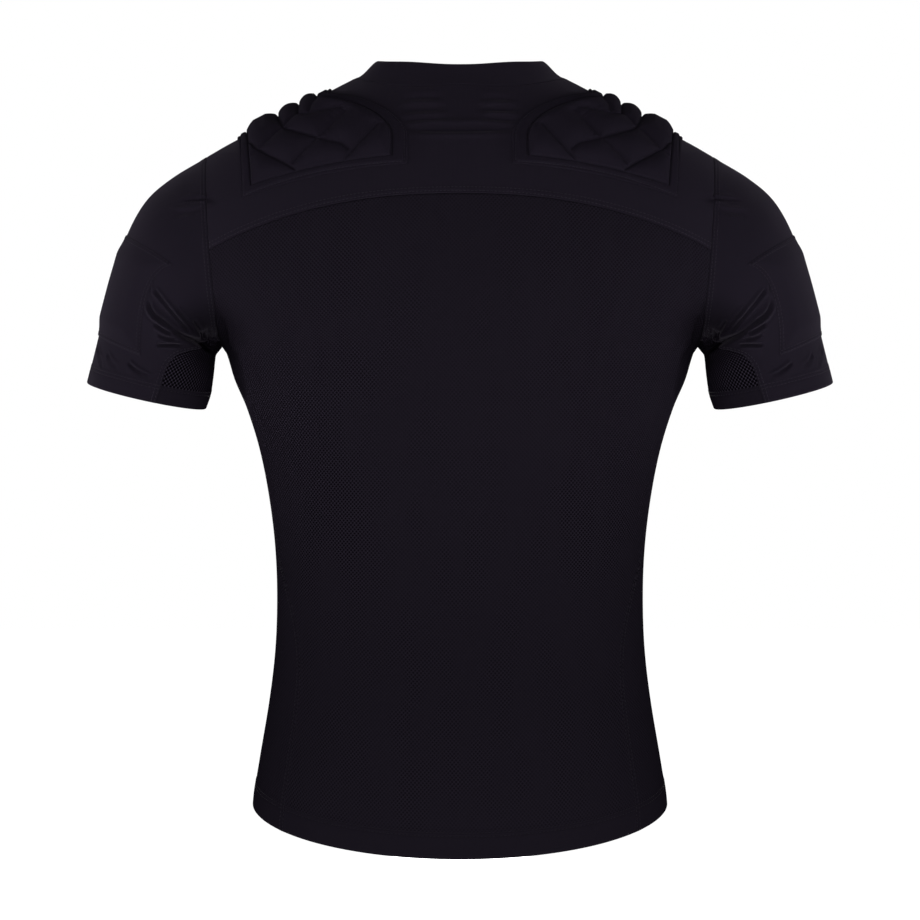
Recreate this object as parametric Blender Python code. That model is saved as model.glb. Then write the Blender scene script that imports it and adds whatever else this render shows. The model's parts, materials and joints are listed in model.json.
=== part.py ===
"""Rugby shoulder pads: a short-sleeved stretch top with quilted shoulder pads, filled out as worn.

Metres, +Z up. The wearer faces +Y, so the back of the top faces -Y and +X is the wearer's right.
The origin lies on the wearer's centre line, level with the base of the neck.
"""

import math
from bisect import bisect_right
from collections import namedtuple

import bmesh
import bpy
from mathutils import Matrix, Vector

COLLECTION = "rugby_shoulder_pad_top"
BACK, FRONT = -1, 1

# Cloth and seams
WALL = 0.0016
SEAM_GAP = 0.0003
PAD_LIFT = 0.0005
SQUARENESS = 0.12

# Colour and roughness of each cloth
Fabric = namedtuple("Fabric", "red green blue roughness")
STRETCH_KNIT = Fabric(0.0105, 0.0090, 0.0130, 0.62)
MESH_KNIT = Fabric(0.0085, 0.0072, 0.0108, 0.78)
OPEN_MESH = Fabric(0.0070, 0.0058, 0.0090, 0.80)
PAD_COVER = Fabric(0.0090, 0.0077, 0.0114, 0.66)

# The hem, and the line of the sides from hem to underarm
HEM_AT_SIDE = -0.6475
HEM_DROP = {BACK: 0.0358, FRONT: 0.022}
HEM_POWER = 1.25
SideLine = namedtuple("SideLine", "height half_width")
SIDE_LINE = [
    SideLine(-0.7200, 0.1890),
    SideLine(-0.6444, 0.1858),
    SideLine(-0.6084, 0.1805),
    SideLine(-0.5544, 0.1715),
    SideLine(-0.5094, 0.1662),
    SideLine(-0.4644, 0.1645),
    SideLine(-0.4194, 0.1660),
    SideLine(-0.3744, 0.1712),
    SideLine(-0.3294, 0.1800),
    SideLine(-0.2916, 0.1917),
    SideLine(-0.2664, 0.2025),
    SideLine(-0.2484, 0.2079),
    SideLine(-0.2412, 0.2106),
    SideLine(-0.2367, 0.2142),
]

# The top of the shoulders, from the armhole to the neck
Ridge = namedtuple("Ridge", "height half_width")
RIDGE = [
    Ridge(-0.0660, 0.2268),
    Ridge(-0.0549, 0.2075),
    Ridge(-0.0290, 0.1585),
    Ridge(-0.0027, 0.1080),
    Ridge(0.0045, 0.0945),
    Ridge(0.0300, 0.0600),
]

# How far the back and the front stand from the plane of the side seams
Depth = namedtuple("Depth", "height back front")
DEPTH = [
    Depth(-0.7200, 0.1240, 0.1100),
    Depth(-0.6400, 0.1210, 0.1070),
    Depth(-0.5800, 0.1120, 0.1030),
    Depth(-0.5200, 0.1010, 0.1010),
    Depth(-0.4650, 0.0955, 0.1010),
    Depth(-0.4000, 0.0980, 0.1060),
    Depth(-0.3400, 0.1055, 0.1140),
    Depth(-0.2850, 0.1135, 0.1210),
    Depth(-0.2385, 0.1190, 0.1240),
    Depth(-0.1800, 0.1210, 0.1200),
    Depth(-0.1200, 0.1150, 0.1060),
    Depth(-0.0660, 0.0990, 0.0830),
    Depth(-0.0400, 0.0860, 0.0690),
    Depth(-0.0150, 0.0725, 0.0550),
    Depth(0.0045, 0.0620, 0.0450),
    Depth(0.0300, 0.0500, 0.0360),
]

# The armhole is an oval in an upright plane, from the shoulder point to the underarm
ARMHOLE_TOP = Vector((0.2268, 0.0, -0.0660))
UNDERARM = Vector((0.2142, 0.0, -0.2367))
ARMHOLE_HALF_DEPTH = 0.076
ARMHOLE_MIDDLE = (ARMHOLE_TOP.z + UNDERARM.z) / 2
ARMHOLE_HALF_HEIGHT = (ARMHOLE_TOP.z - UNDERARM.z) / 2
ARMHOLE_LAID_FROM, ARMHOLE_LAID_TO = -0.35, 0.35

# The yoke seam arches over the shoulder blades
YOKE_SEAM_HEIGHT = -0.107
YOKE_SEAM_DROP = 0.0461
YOKE_SEAM_REACH = 0.2187
YOKE_SEAM_POWER = 2.35

# The side panel's half width, as an angle round the body from the side seam's place
SidePanel = namedtuple("SidePanel", "height half_angle")
SIDE_PANEL = [
    SidePanel(-0.7200, 33.0),
    SidePanel(-0.5400, 32.5),
    SidePanel(-0.4930, 29.0),
    SidePanel(-0.4500, 20.0),
    SidePanel(-0.4200, 12.0),
    SidePanel(-0.3500, 8.0),
    SidePanel(-0.2300, 7.0),
]

# The neck hole in plan, and the collar that stands in it
NECK_HALF_WIDTH = 0.0945
NECK_DEPTH = {BACK: 0.0685, FRONT: 0.0750}
NECK_POWER = {BACK: 2.7, FRONT: 2.3}
COLLAR_LEAN = {"side": 0.0185, BACK: 0.0110, FRONT: 0.0090}
COLLAR_RISE = {"side": 0.0160, BACK: 0.0190, FRONT: 0.0210}
COLLAR_SWELL = 0.0016
COLLAR_BOW = -0.0008

# Rings of the right sleeve: its outer and inner lines as seen from behind, and its half depth
SleeveRing = namedtuple("SleeveRing", "along outer_x outer_z inner_x inner_z half_depth back_drop")
SLEEVE = [
    SleeveRing(0.00, ARMHOLE_TOP.x, ARMHOLE_TOP.z, UNDERARM.x, UNDERARM.z, ARMHOLE_HALF_DEPTH, 0.0),
    SleeveRing(0.14, 0.2584, -0.0850, 0.2172, -0.2405, 0.0770, 0.0),
    SleeveRing(0.28, 0.2814, -0.1050, 0.2198, -0.2440, 0.0760, 0.0003),
    SleeveRing(0.43, 0.2984, -0.1345, 0.2206, -0.2490, 0.0725, 0.0008),
    SleeveRing(0.57, 0.3097, -0.1692, 0.2213, -0.2570, 0.0675, 0.0016),
    SleeveRing(0.71, 0.3186, -0.2016, 0.2222, -0.2655, 0.0625, 0.0026),
    SleeveRing(0.86, 0.3268, -0.2349, 0.2243, -0.2785, 0.0592, 0.0038),
    SleeveRing(1.00, 0.3352, -0.2685, 0.2290, -0.2925, 0.0570, 0.0050),
]

# Where the mesh panel under the arm begins, as an angle round the sleeve from its outer line
Gusset = namedtuple("Gusset", "along begins")
GUSSET = [
    Gusset(0.00, 160.0),
    Gusset(0.30, 151.0),
    Gusset(0.47, 140.0),
    Gusset(0.59, 126.0),
    Gusset(0.70, 113.0),
    Gusset(0.80, 106.5),
    Gusset(1.00, 104.0),
]

# Soft folds across the yoke between the pads, each a ridge or a trough
YokeFold = namedtuple("YokeFold", "height rise half_width half_length")
YOKE_FOLDS = [
    YokeFold(-0.0375, -0.0012, 0.0045, 0.045),
    YokeFold(-0.0465, 0.0012, 0.0050, 0.043),
    YokeFold(-0.0560, -0.0020, 0.0045, 0.050),
]
YOKE_FOLD_FADE = 0.4

# Creases that run out of the underarm over the back and the front of the sleeve
SleeveFold = namedtuple("SleeveFold", "from_angle from_along to_angle to_along rise half_width")
SLEEVE_FOLDS = [
    SleeveFold(158.0, 0.14, 84.0, 0.50, -0.0035, 0.0065),
    SleeveFold(150.0, 0.10, 88.0, 0.36, 0.0025, 0.0065),
    SleeveFold(154.0, 0.34, 96.0, 0.66, -0.0022, 0.0060),
]
SLEEVE_FOLD_FROM, SLEEVE_FOLD_TO = 0.12, 0.95
SLEEVE_FOLD_FADE = 0.06
SLEEVE_WALL_TURN = 0.2

# Pads on the outside of the upper arms
BICEP_HALF_ANGLE = {"top": 86.0, "bottom": 81.0}
BICEP_WAIST = 9.0
BICEP_EDGE_POWER = 2.4
BICEP_TOP, BICEP_TOP_DROP = 0.435, 0.180
BICEP_BOTTOM, BICEP_BOTTOM_DROP = 0.824, 0.020
BICEP_THICKNESS = 0.0030
BICEP_EDGE_SHARE = 0.45

# Shoulder pads: the lower edges, the inner and outer edges, and the sewn border
PAD_BOTTOM = {BACK: -0.0795, FRONT: -0.0690}
PAD_BOTTOM_DROP = 0.0305
PAD_BOTTOM_POWER = 2.2
PAD_INNER_AT_RIDGE, PAD_INNER_AT_BOTTOM = 0.1150, 0.0455
PAD_INNER_TURN = (math.radians(20), math.radians(75))
PAD_OUTER_AT_RIDGE, PAD_OUTER_AT_BOTTOM = 0.1998, 0.1908
PAD_REACH = 0.2
PAD_END_SHARE = 0.1
BORDER_WIDTH = {"inner": 0.0135, "outer": 0.0095, "end": 0.0078}
BORDER_THICKNESS = 0.0028
BORDER_EDGE_SHARE = 0.55
PAD_THICKNESS = 0.0068
GROOVE_SHARE = 0.40
GROOVE_WIDTH = 0.0085
PAD_EDGE_FALL = 0.008

# Quilting lines of the right pad. Each runs by three places: the distance from the centre line, and the
# swing in degrees over the shoulder, 0 on top and 90 at the lower edge of the back
QuiltLine = namedtuple("QuiltLine", "x_1 swing_1 x_2 swing_2 x_3 swing_3")
QUILT_LINES = [
    QuiltLine(0.184, 69, 0.158, 51, 0.122, 26),
    QuiltLine(0.152, 84, 0.127, 69, 0.088, 50),
    QuiltLine(0.104, 89, 0.087, 76, 0.068, 67),
    QuiltLine(0.184, 48, 0.172, 66, 0.135, 88),
    QuiltLine(0.186, 33, 0.149, 54, 0.094, 82),
    QuiltLine(0.188, 4, 0.140, 38, 0.095, 51),
    QuiltLine(0.188, 25, 0.150, 0, 0.120, -22),
    QuiltLine(0.188, -20, 0.161, 0, 0.121, 26),
    QuiltLine(0.188, -42, 0.140, -12, 0.120, 0),
    QuiltLine(0.188, -20, 0.150, -45, 0.095, -72),
    QuiltLine(0.188, -66, 0.140, -37, 0.108, -20),
    QuiltLine(0.188, -88, 0.140, -62, 0.088, -42),
    QuiltLine(0.140, -86, 0.100, -72, 0.060, -60),
    QuiltLine(0.188, -66, 0.170, -78, 0.150, -90),
]

# Grid steps of the pieces
BODY_COLUMNS, SIDE_COLUMNS = 16, 6
SIDE_ROWS, ARMHOLE_LOW_ROWS, ARMHOLE_HIGH_ROWS, RIDGE_ROWS = 11, 4, 5, 7
SLEEVE_COLUMNS, GUSSET_COLUMNS, SLEEVE_ROWS = 24, 8, 14
COLLAR_ROWS = 2
PAD_COLUMNS, PAD_ROWS = 18, 26
BORDER_STEPS_ACROSS, BORDER_STEPS_ALONG, BORDER_ROWS = 9, PAD_ROWS, 2
BICEP_COLUMNS, BICEP_ROWS = 16, 11

Spot = namedtuple("Spot", "point normal")
RIGHT_ANGLE = math.pi / 2
NUDGE = 1e-4
MERGE = 1e-6
HALVINGS = 36
SETTLING_STEPS = 12
RUN_STEPS = 24
QUILT_STEPS = 6


def mix(first, last, share):
    return first + (last - first) * share


def ease(share):
    """A smooth step from 0 to 1."""
    share = min(max(share, 0.0), 1.0)
    return share * share * (3 - 2 * share)


def read(table, column, place):
    """A column's value at a place along the table's first column, on a smooth curve through its rows."""
    places = [row[0] for row in table]
    values = [getattr(row, column) for row in table]
    place = min(max(place, places[0]), places[-1])
    i = min(bisect_right(places, place) - 1, len(places) - 2)

    def slope(row):
        before, after = max(row - 1, 0), min(row + 1, len(places) - 1)
        return (values[after] - values[before]) / (places[after] - places[before])

    span = places[i + 1] - places[i]
    t = (place - places[i]) / span
    rise = values[i + 1] - values[i]
    start, end = slope(i) * span, slope(i + 1) * span
    return values[i] + t * (start + t * (3 * rise - 2 * start - end + t * (start + end - 2 * rise)))


def crossing(holds, low, high):
    """Where a test that holds at low stops holding on the way to high."""
    for _ in range(HALVINGS):
        middle = (low + high) / 2
        if holds(middle):
            low = middle
        else:
            high = middle
    return low


# The body's form


def depth_of(side, height):
    return read(DEPTH, "back" if side == BACK else "front", height)


def half_ring(side, height):
    """Half width, depth and the angle where the armhole or the side ends this half of the body's ring."""
    depth = depth_of(side, height)
    if height <= UNDERARM.z:
        return read(SIDE_LINE, "half_width", height), depth, RIGHT_ANGLE
    if height >= ARMHOLE_TOP.z:
        return read(RIDGE, "half_width", height), depth, RIGHT_ANGLE
    level = (height - ARMHOLE_MIDDLE) / ARMHOLE_HALF_HEIGHT
    share = ARMHOLE_HALF_DEPTH * math.sqrt(max(0.0, 1 - level * level)) / depth
    cosine = share
    for _ in range(SETTLING_STEPS):
        cosine = (share + SQUARENESS * cosine**3) / (1 + SQUARENESS)
    angle = math.acos(cosine)
    edge = mix(UNDERARM.x, ARMHOLE_TOP.x, (height - UNDERARM.z) / (ARMHOLE_TOP.z - UNDERARM.z))
    return edge / math.sin(angle), depth, angle


def torso_point(side, angle, height):
    """A point of the body, by its angle from the centre line of the back or front and its height."""
    half_width, depth, _ = half_ring(side, height)
    sine = math.sin(angle)
    return Vector((
        half_width * sine,
        side * depth * math.cos(angle) * (1 + SQUARENESS * sine * sine),
        height,
    ))


def torso_normal(side, angle, height):
    across = torso_point(side, angle + NUDGE, height) - torso_point(side, angle - NUDGE, height)
    up = torso_point(side, angle, height + NUDGE) - torso_point(side, angle, height - NUDGE)
    return (across.cross(up) * -side).normalized()


def along_armhole(normal, level, wearer_right=True):
    """A wall's direction at the armhole, laid in the armhole's plane over the shoulder, where edges would meet.

    The level runs from 1 at the top of the armhole to -1 at the underarm, where the walls already part.
    """
    across = Vector((0.0, 1.0, 0.0)).cross(ARMHOLE_TOP - UNDERARM).normalized()
    if not wearer_right:
        across.x = -across.x
    laid = ease((level - ARMHOLE_LAID_FROM) / (ARMHOLE_LAID_TO - ARMHOLE_LAID_FROM))
    return (normal - across * normal.dot(across) * laid).normalized()


def yoke_folds(point):
    """How far the cloth of the yoke rises at its folds."""
    rise = 0.0
    for fold in YOKE_FOLDS:
        near = math.exp(-(((point.z - fold.height) / fold.half_width) ** 2))
        rise += fold.rise * near * ease((1 - abs(point.x) / fold.half_length) / YOKE_FOLD_FADE)
    return rise


# Seam lines on the body


def side_angle(height):
    return math.radians(read(SIDE_PANEL, "half_angle", height))


def armhole_corner(side):
    """The height where the side panel's seam meets the armhole."""
    return crossing(
        lambda height: half_ring(side, height)[2] > RIGHT_ANGLE - side_angle(height),
        UNDERARM.z,
        ARMHOLE_MIDDLE,
    )


CORNER = {side: armhole_corner(side) for side in (BACK, FRONT)}


def edge_angle(side, height):
    """The angle where a front or back panel ends: at the side panel, the armhole or the shoulder's top."""
    if height < CORNER[side]:
        return RIGHT_ANGLE - side_angle(height)
    return half_ring(side, height)[2]


def hem_height(side, angle):
    return HEM_AT_SIDE - HEM_DROP[side] * max(math.cos(angle), 0.0) ** HEM_POWER


def yoke_seam(x):
    return YOKE_SEAM_HEIGHT - YOKE_SEAM_DROP * (abs(x) / YOKE_SEAM_REACH) ** YOKE_SEAM_POWER


def yoke_height(across):
    """Height of the yoke seam on the line that runs up the back at this share of its width."""
    def below(height):
        return height < yoke_seam(torso_point(BACK, across * edge_angle(BACK, height), height).x)

    return crossing(below, UNDERARM.z, ARMHOLE_TOP.z)


def outside_neck(side, point):
    power = NECK_POWER[side]
    return (abs(point.x) / NECK_HALF_WIDTH) ** power + (abs(point.y) / NECK_DEPTH[side]) ** power > 1


def neck_height(side, across):
    """Height of the collar seam on the line that runs up this half at this share of its width."""
    return crossing(
        lambda height: outside_neck(side, torso_point(side, across * edge_angle(side, height), height)),
        ARMHOLE_TOP.z,
        RIDGE[-1].height,
    )


def armhole_climb(low, high, share):
    """Share of the climb from low to high that equal steps round the armhole's oval give."""
    def turn(height):
        return math.acos(min(max((ARMHOLE_MIDDLE - height) / ARMHOLE_HALF_HEIGHT, -1.0), 1.0))

    height = ARMHOLE_MIDDLE - ARMHOLE_HALF_HEIGHT * math.cos(mix(turn(low), turn(high), share))
    return (height - low) / (high - low)


def body_panel(side, levels, rows):
    """Surface of a panel on one half of the body. Levels are heights across it, with rows between them."""
    def surface(u, v):
        across = (2 * u - 1) * -side
        step = v * sum(rows)
        i = 0
        while i < len(rows) - 1 and step > rows[i]:
            step -= rows[i]
            i += 1
        share = step / rows[i]
        low, high = levels[i](1.0), levels[i + 1](1.0)
        if low >= CORNER[side] and high <= ARMHOLE_TOP.z:
            share = armhole_climb(low, high, share)
        height = mix(levels[i](across), levels[i + 1](across), share)
        angle = across * edge_angle(side, height)
        point, normal = torso_point(side, angle, height), torso_normal(side, angle, height)
        if side == BACK:
            point += normal * yoke_folds(point)
        if abs(across) > 1 - NUDGE and CORNER[side] <= height <= ARMHOLE_TOP.z:
            normal = along_armhole(normal, (height - ARMHOLE_MIDDLE) / ARMHOLE_HALF_HEIGHT, across > 0)
        return Spot(point, normal)

    return surface


def remembered(level):
    """A level that works each height out once."""
    known = {}

    def height(across):
        key = round(across, 9)
        if key not in known:
            known[key] = level(across)
        return known[key]

    return height


HEM_LEVEL = {
    side: remembered(lambda across, side=side: hem_height(side, across * edge_angle(side, HEM_AT_SIDE)))
    for side in (BACK, FRONT)
}
CORNER_LEVEL = {side: lambda across, side=side: CORNER[side] for side in (BACK, FRONT)}
YOKE_LEVEL = remembered(yoke_height)
NECK_LEVEL = {
    side: remembered(lambda across, side=side: neck_height(side, across)) for side in (BACK, FRONT)
}


def shoulder_level(across):
    return ARMHOLE_TOP.z


def side_panel(u, v):
    """The right side panel, from the back seam to the front seam and from hem to armhole."""
    turn = 2 * u - 1
    side = BACK if turn < 0 else FRONT

    def angle_at(height):
        return RIGHT_ANGLE - abs(turn) * side_angle(height)

    low = hem_height(side, angle_at(HEM_AT_SIDE))
    high = crossing(lambda height: half_ring(side, height)[2] > angle_at(height), UNDERARM.z, ARMHOLE_MIDDLE)
    height = mix(low, high, v)
    place = side, angle_at(height), height
    return Spot(torso_point(*place), torso_normal(*place))


# The collar


def collar_point(u, v):
    """A point of the collar, round from the left of the neck over the back, and up from its seam."""
    u %= 1.0
    side = BACK if u <= 0.5 else FRONT
    across = 4 * u - 1 if side == BACK else 3 - 4 * u
    height = NECK_LEVEL[side](across)
    base = torso_point(side, across * edge_angle(side, height), height)
    power, depth = NECK_POWER[side], NECK_DEPTH[side]
    aside = math.copysign((abs(base.x) / NECK_HALF_WIDTH) ** (power - 1) / NECK_HALF_WIDTH, base.x)
    forth = side * (abs(base.y) / depth) ** (power - 1) / depth
    outward = Vector((aside, forth, 0.0)).normalized()
    middle = min(abs(base.y) / depth, 1.0) ** 2
    lean = mix(COLLAR_LEAN["side"], COLLAR_LEAN[side], middle)
    rise = mix(COLLAR_RISE["side"], COLLAR_RISE[side], middle) + COLLAR_SWELL * 4 * middle * (1 - middle)
    bow = COLLAR_BOW * math.sin(math.pi * v)
    return base + outward * (bow - lean * v) + Vector((0.0, 0.0, SEAM_GAP / 2 + rise * v))


def collar(u, v):
    round_it = collar_point(u + NUDGE, v) - collar_point(u - NUDGE, v)
    up = collar_point(u, v + NUDGE) - collar_point(u, v - NUDGE)
    return Spot(collar_point(u, v), round_it.cross(up).normalized())


# The sleeves


def plain_sleeve(angle, along):
    """A point of the right sleeve, by its angle from the outer line towards the back and its place along."""
    outer = Vector((read(SLEEVE, "outer_x", along), 0.0, read(SLEEVE, "outer_z", along)))
    inner = Vector((read(SLEEVE, "inner_x", along), 0.0, read(SLEEVE, "inner_z", along)))
    half_depth, drop = read(SLEEVE, "half_depth", along), read(SLEEVE, "back_drop", along)
    centre, reach = (outer + inner) / 2, (outer - inner) / 2
    return centre + reach * math.cos(angle) - Vector((0.0, half_depth, drop)) * math.sin(angle)


def sleeve_normal(angle, along):
    low, high = max(along - NUDGE, 0.0), min(along + NUDGE, 1.0)
    round_it = plain_sleeve(angle - NUDGE, along) - plain_sleeve(angle + NUDGE, along)
    up = plain_sleeve(angle, low) - plain_sleeve(angle, high)
    return round_it.cross(up).normalized()


def sleeve_folds(point, angle):
    """How far the cloth of the sleeve rises at its creases, which the front has as well as the back."""
    mirror = 1 if math.sin(angle) >= 0 else -1
    rise = 0.0
    for fold in SLEEVE_FOLDS:
        start = plain_sleeve(math.radians(fold.from_angle) * mirror, fold.from_along)
        end = plain_sleeve(math.radians(fold.to_angle) * mirror, fold.to_along)
        run = end - start
        share = min(max((point - start).dot(run) / run.length_squared, 0.0), 1.0)
        near = math.exp(-(((point - start - run * share).length / fold.half_width) ** 2))
        rise += fold.rise * near * math.sin(math.pi * mix(SLEEVE_FOLD_FROM, SLEEVE_FOLD_TO, share))
    return rise


def sleeve_spot(angle, along):
    """A place on the right sleeve with its creases, which die out at the armhole and the cuff."""
    point, normal = plain_sleeve(angle, along), sleeve_normal(angle, along)
    settled = ease(along / SLEEVE_FOLD_FADE) * ease((1 - along) / SLEEVE_FOLD_FADE)
    point += normal * sleeve_folds(point, angle) * settled
    turned = along_armhole(normal, math.cos(angle)).lerp(normal, ease(along / SLEEVE_WALL_TURN))
    return Spot(point, turned.normalized())


def gusset_angle(along):
    return math.radians(read(GUSSET, "begins", along))


def sleeve(u, v):
    along = 1 - v
    return sleeve_spot(gusset_angle(along) * (1 - 2 * u), along)


def gusset(u, v):
    along = 1 - v
    return sleeve_spot(mix(math.tau - gusset_angle(along), gusset_angle(along), u), along)


def bicep_place(u, v):
    """Angle and place along the sleeve of a point of the bicep pad."""
    turn = 1 - 2 * u
    drop = abs(turn) ** BICEP_EDGE_POWER
    top, bottom = BICEP_TOP - BICEP_TOP_DROP * drop, BICEP_BOTTOM - BICEP_BOTTOM_DROP * drop
    half_angle = mix(BICEP_HALF_ANGLE["bottom"], BICEP_HALF_ANGLE["top"], v)
    half_angle -= BICEP_WAIST * math.sin(math.pi * v)
    return math.radians(half_angle) * turn, mix(bottom, top, v)


def bicep_pad(u, v):
    under = sleeve_spot(*bicep_place(u, v))
    return Spot(under.point + under.normal * PAD_LIFT, under.normal)


def bicep_height(u, v):
    """Share of the bicep pad's thickness, thinner at its sewn edge."""
    return BICEP_EDGE_SHARE if min(u, v, 1 - u, 1 - v) < NUDGE else 1.0


# The shoulder pads


def pad_bottom(side, x):
    return PAD_BOTTOM[side] - PAD_BOTTOM_DROP * (x / PAD_OUTER_AT_BOTTOM) ** PAD_BOTTOM_POWER


def over_shoulder(x, swing):
    """Side, angle and height of the body where a line from inside the shoulder comes out.

    The line lies in the upright plane at x. It points up at a swing of 0, and level to the back at 90 degrees.
    """
    side = BACK if swing >= 0 else FRONT
    start = pad_bottom(side, x)
    outward, upward = math.sin(abs(swing)), math.cos(swing)

    def inside(reach):
        height = start + reach * upward
        half_width = half_ring(side, height)[0]
        if x >= half_width:
            return False
        return reach * outward < abs(torso_point(side, math.asin(x / half_width), height).y)

    height = start + crossing(inside, 0.0, PAD_REACH) * upward
    return side, math.asin(min(x / half_ring(side, height)[0], 1.0)), height


def pad_place(p, q):
    """Side, angle and height on the body of a pad's point: p across from the neck, q from back to front."""
    swing = RIGHT_ANGLE * (1 - 2 * q)
    start, end = PAD_INNER_TURN
    inner = mix(PAD_INNER_AT_RIDGE, PAD_INNER_AT_BOTTOM, ease((abs(swing) - start) / (end - start)))
    outer = mix(PAD_OUTER_AT_RIDGE, PAD_OUTER_AT_BOTTOM, abs(swing) / RIGHT_ANGLE)
    return over_shoulder(mix(inner, outer, p), swing)


def pad_spot(p, q):
    """A place on a pad's underside, just clear of the body."""
    place = pad_place(p, q)
    normal = torso_normal(*place)
    return Spot(torso_point(*place) + normal * PAD_LIFT, normal)


def pad_run(place):
    """Length of a line over the pad, from a function of its places."""
    line = [pad_spot(*place(i / RUN_STEPS)).point for i in range(RUN_STEPS + 1)]
    return sum((b - a).length for a, b in zip(line, line[1:]))


PAD_WIDTH = remembered(lambda q: pad_run(lambda share: (share, q)))
PAD_END = remembered(lambda p: pad_run(lambda share: (p, share * PAD_END_SHARE)) / PAD_END_SHARE)


def within_border(p, q, share, gap=0.0):
    """A place on the pad, by its shares of the part that is left inside a share of the border's width."""
    width, end = PAD_WIDTH(q), PAD_END(p)
    inner = (BORDER_WIDTH["inner"] * share + gap) / width
    outer = (BORDER_WIDTH["outer"] * share + gap) / width
    ends = (BORDER_WIDTH["end"] * share + gap) / end
    return mix(inner, 1 - outer, p), mix(ends, 1 - ends, q)


def shoulder_pad(u, v):
    return pad_spot(*within_border(u, v, 1.0, SEAM_GAP))


def quilt_paths():
    """The quilting lines as points on the body."""
    paths = []
    for line in QUILT_LINES:
        places = [(line.x_1, line.swing_1), (line.x_2, line.swing_2), (line.x_3, line.swing_3)]
        path = []
        for (x, swing), (next_x, next_swing) in zip(places, places[1:]):
            for i in range(QUILT_STEPS + 1):
                share = i / QUILT_STEPS
                place = over_shoulder(mix(x, next_x, share), math.radians(mix(swing, next_swing, share)))
                path.append(torso_point(*place))
        paths.append(path)
    return paths


QUILT_PATHS = quilt_paths()


def distance(point, path):
    """Distance from a point to the nearest place on a path."""
    nearest = PAD_REACH
    for start, end in zip(path, path[1:]):
        run = end - start
        share = (point - start).dot(run) / max(run.length_squared, NUDGE**2)
        nearest = min(nearest, (point - start - run * min(max(share, 0.0), 1.0)).length)
    return nearest


def quilt_height(u, v):
    """Share of the pad's thickness: cushions between the quilting lines, falling to the sewn edge."""
    point = shoulder_pad(u, v).point
    pillow = 1.0
    for path in QUILT_PATHS:
        pillow *= 1 - math.exp(-((distance(point, path) / GROOVE_WIDTH) ** 2))
    to_edge = min(min(u, 1 - u) * PAD_WIDTH(v), min(v, 1 - v) * PAD_END(u))
    return GROOVE_SHARE + (1 - GROOVE_SHARE) * pillow * ease(to_edge / PAD_EDGE_FALL)


def border_corner(share):
    """A place round a square, counter-clockwise from its first corner, stepped as the pad's edges are."""
    steps = share * 2 * (BORDER_STEPS_ACROSS + BORDER_STEPS_ALONG)
    for count, start, step in (
        (BORDER_STEPS_ACROSS, (0, 0), (1, 0)),
        (BORDER_STEPS_ALONG, (1, 0), (0, 1)),
        (BORDER_STEPS_ACROSS, (1, 1), (-1, 0)),
        (BORDER_STEPS_ALONG, (0, 1), (0, -1)),
    ):
        if steps <= count:
            return start[0] + step[0] * steps / count, start[1] + step[1] * steps / count
        steps -= count
    return 0.0, 0.0


def pad_border(u, v):
    return pad_spot(*within_border(*border_corner(u), v))


def border_height(u, v):
    """Share of the border's thickness, rounded off at both of its edges."""
    return BORDER_EDGE_SHARE if min(v, 1 - v) < NUDGE else 1.0


# Making the pieces


def fabric(name, kind):
    material = bpy.data.materials.new(name)
    material.use_nodes = True
    shader = material.node_tree.nodes["Principled BSDF"]
    shader.inputs["Base Color"].default_value = (kind.red, kind.green, kind.blue, 1.0)
    shader.inputs["Roughness"].default_value = kind.roughness
    shader.inputs["Metallic"].default_value = 0.0
    return material


def inset(surface, u, v, closed):
    """A place on a piece, with its cut edges drawn in by half a seam's gap."""
    spot = surface(u, v)
    drawn = spot.point.copy()
    for here, step in ((u, Vector((NUDGE, 0))), (v, Vector((0, NUDGE)))):
        if closed and step.x:
            continue
        if here < NUDGE or here > 1 - NUDGE:
            way = step if here < NUDGE else -step
            inner = surface(u + way.x, v + way.y).point
            drawn += (inner - spot.point).normalized() * SEAM_GAP / 2
    return Spot(drawn, spot.normal)


def cloth(name, surface, columns, rows, material, thickness=WALL, height=None, closed=False):
    """A piece laid on a surface: a flat grid given a second layer, then shaped.

    A plain piece has its wall inside the surface. Where height is given, the piece is raised on it instead.
    """
    shape = bmesh.new()
    bmesh.ops.create_grid(shape, x_segments=columns, y_segments=rows, size=0.5)
    made = bmesh.ops.extrude_face_region(shape, geom=shape.faces[:])
    outer = {part for part in made["geom"] if isinstance(part, bmesh.types.BMVert)}
    if closed:
        ends = [face for face in shape.faces if abs(face.calc_center_median().x) > 0.5 - NUDGE]
        bmesh.ops.delete(shape, geom=ends, context="FACES_ONLY")
    for vert in shape.verts:
        u, v = round(vert.co.x + 0.5, 6), round(vert.co.y + 0.5, 6)
        spot = inset(surface, u, v, closed)
        if height:
            layer = thickness * height(u, v) if vert in outer else 0.0
        else:
            layer = 0.0 if vert in outer else -thickness
        vert.co = spot.point + spot.normal * layer
    if closed:
        bmesh.ops.remove_doubles(shape, verts=shape.verts, dist=MERGE)
    bmesh.ops.recalc_face_normals(shape, faces=shape.faces)
    mesh = bpy.data.meshes.new(name)
    shape.to_mesh(mesh)
    shape.free()
    mesh.shade_smooth()
    return place_piece(name, mesh, material)


def place_piece(name, mesh, material):
    mesh.materials.clear()
    mesh.materials.append(material)
    piece = bpy.data.objects.new(name, mesh)
    bpy.data.collections[COLLECTION].objects.link(piece)
    return piece


def mirrored(piece, name):
    """The same piece on the wearer's left."""
    mesh = piece.data.copy()
    mesh.transform(Matrix.Scale(-1, 4, Vector((1, 0, 0))))
    mesh.flip_normals()
    return place_piece(name, mesh, piece.data.materials[0])


def clear_scene():
    for thing in list(bpy.data.objects):
        bpy.data.objects.remove(thing)
    pieces = bpy.data.collections.new(COLLECTION)
    bpy.context.scene.collection.children.link(pieces)


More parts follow.
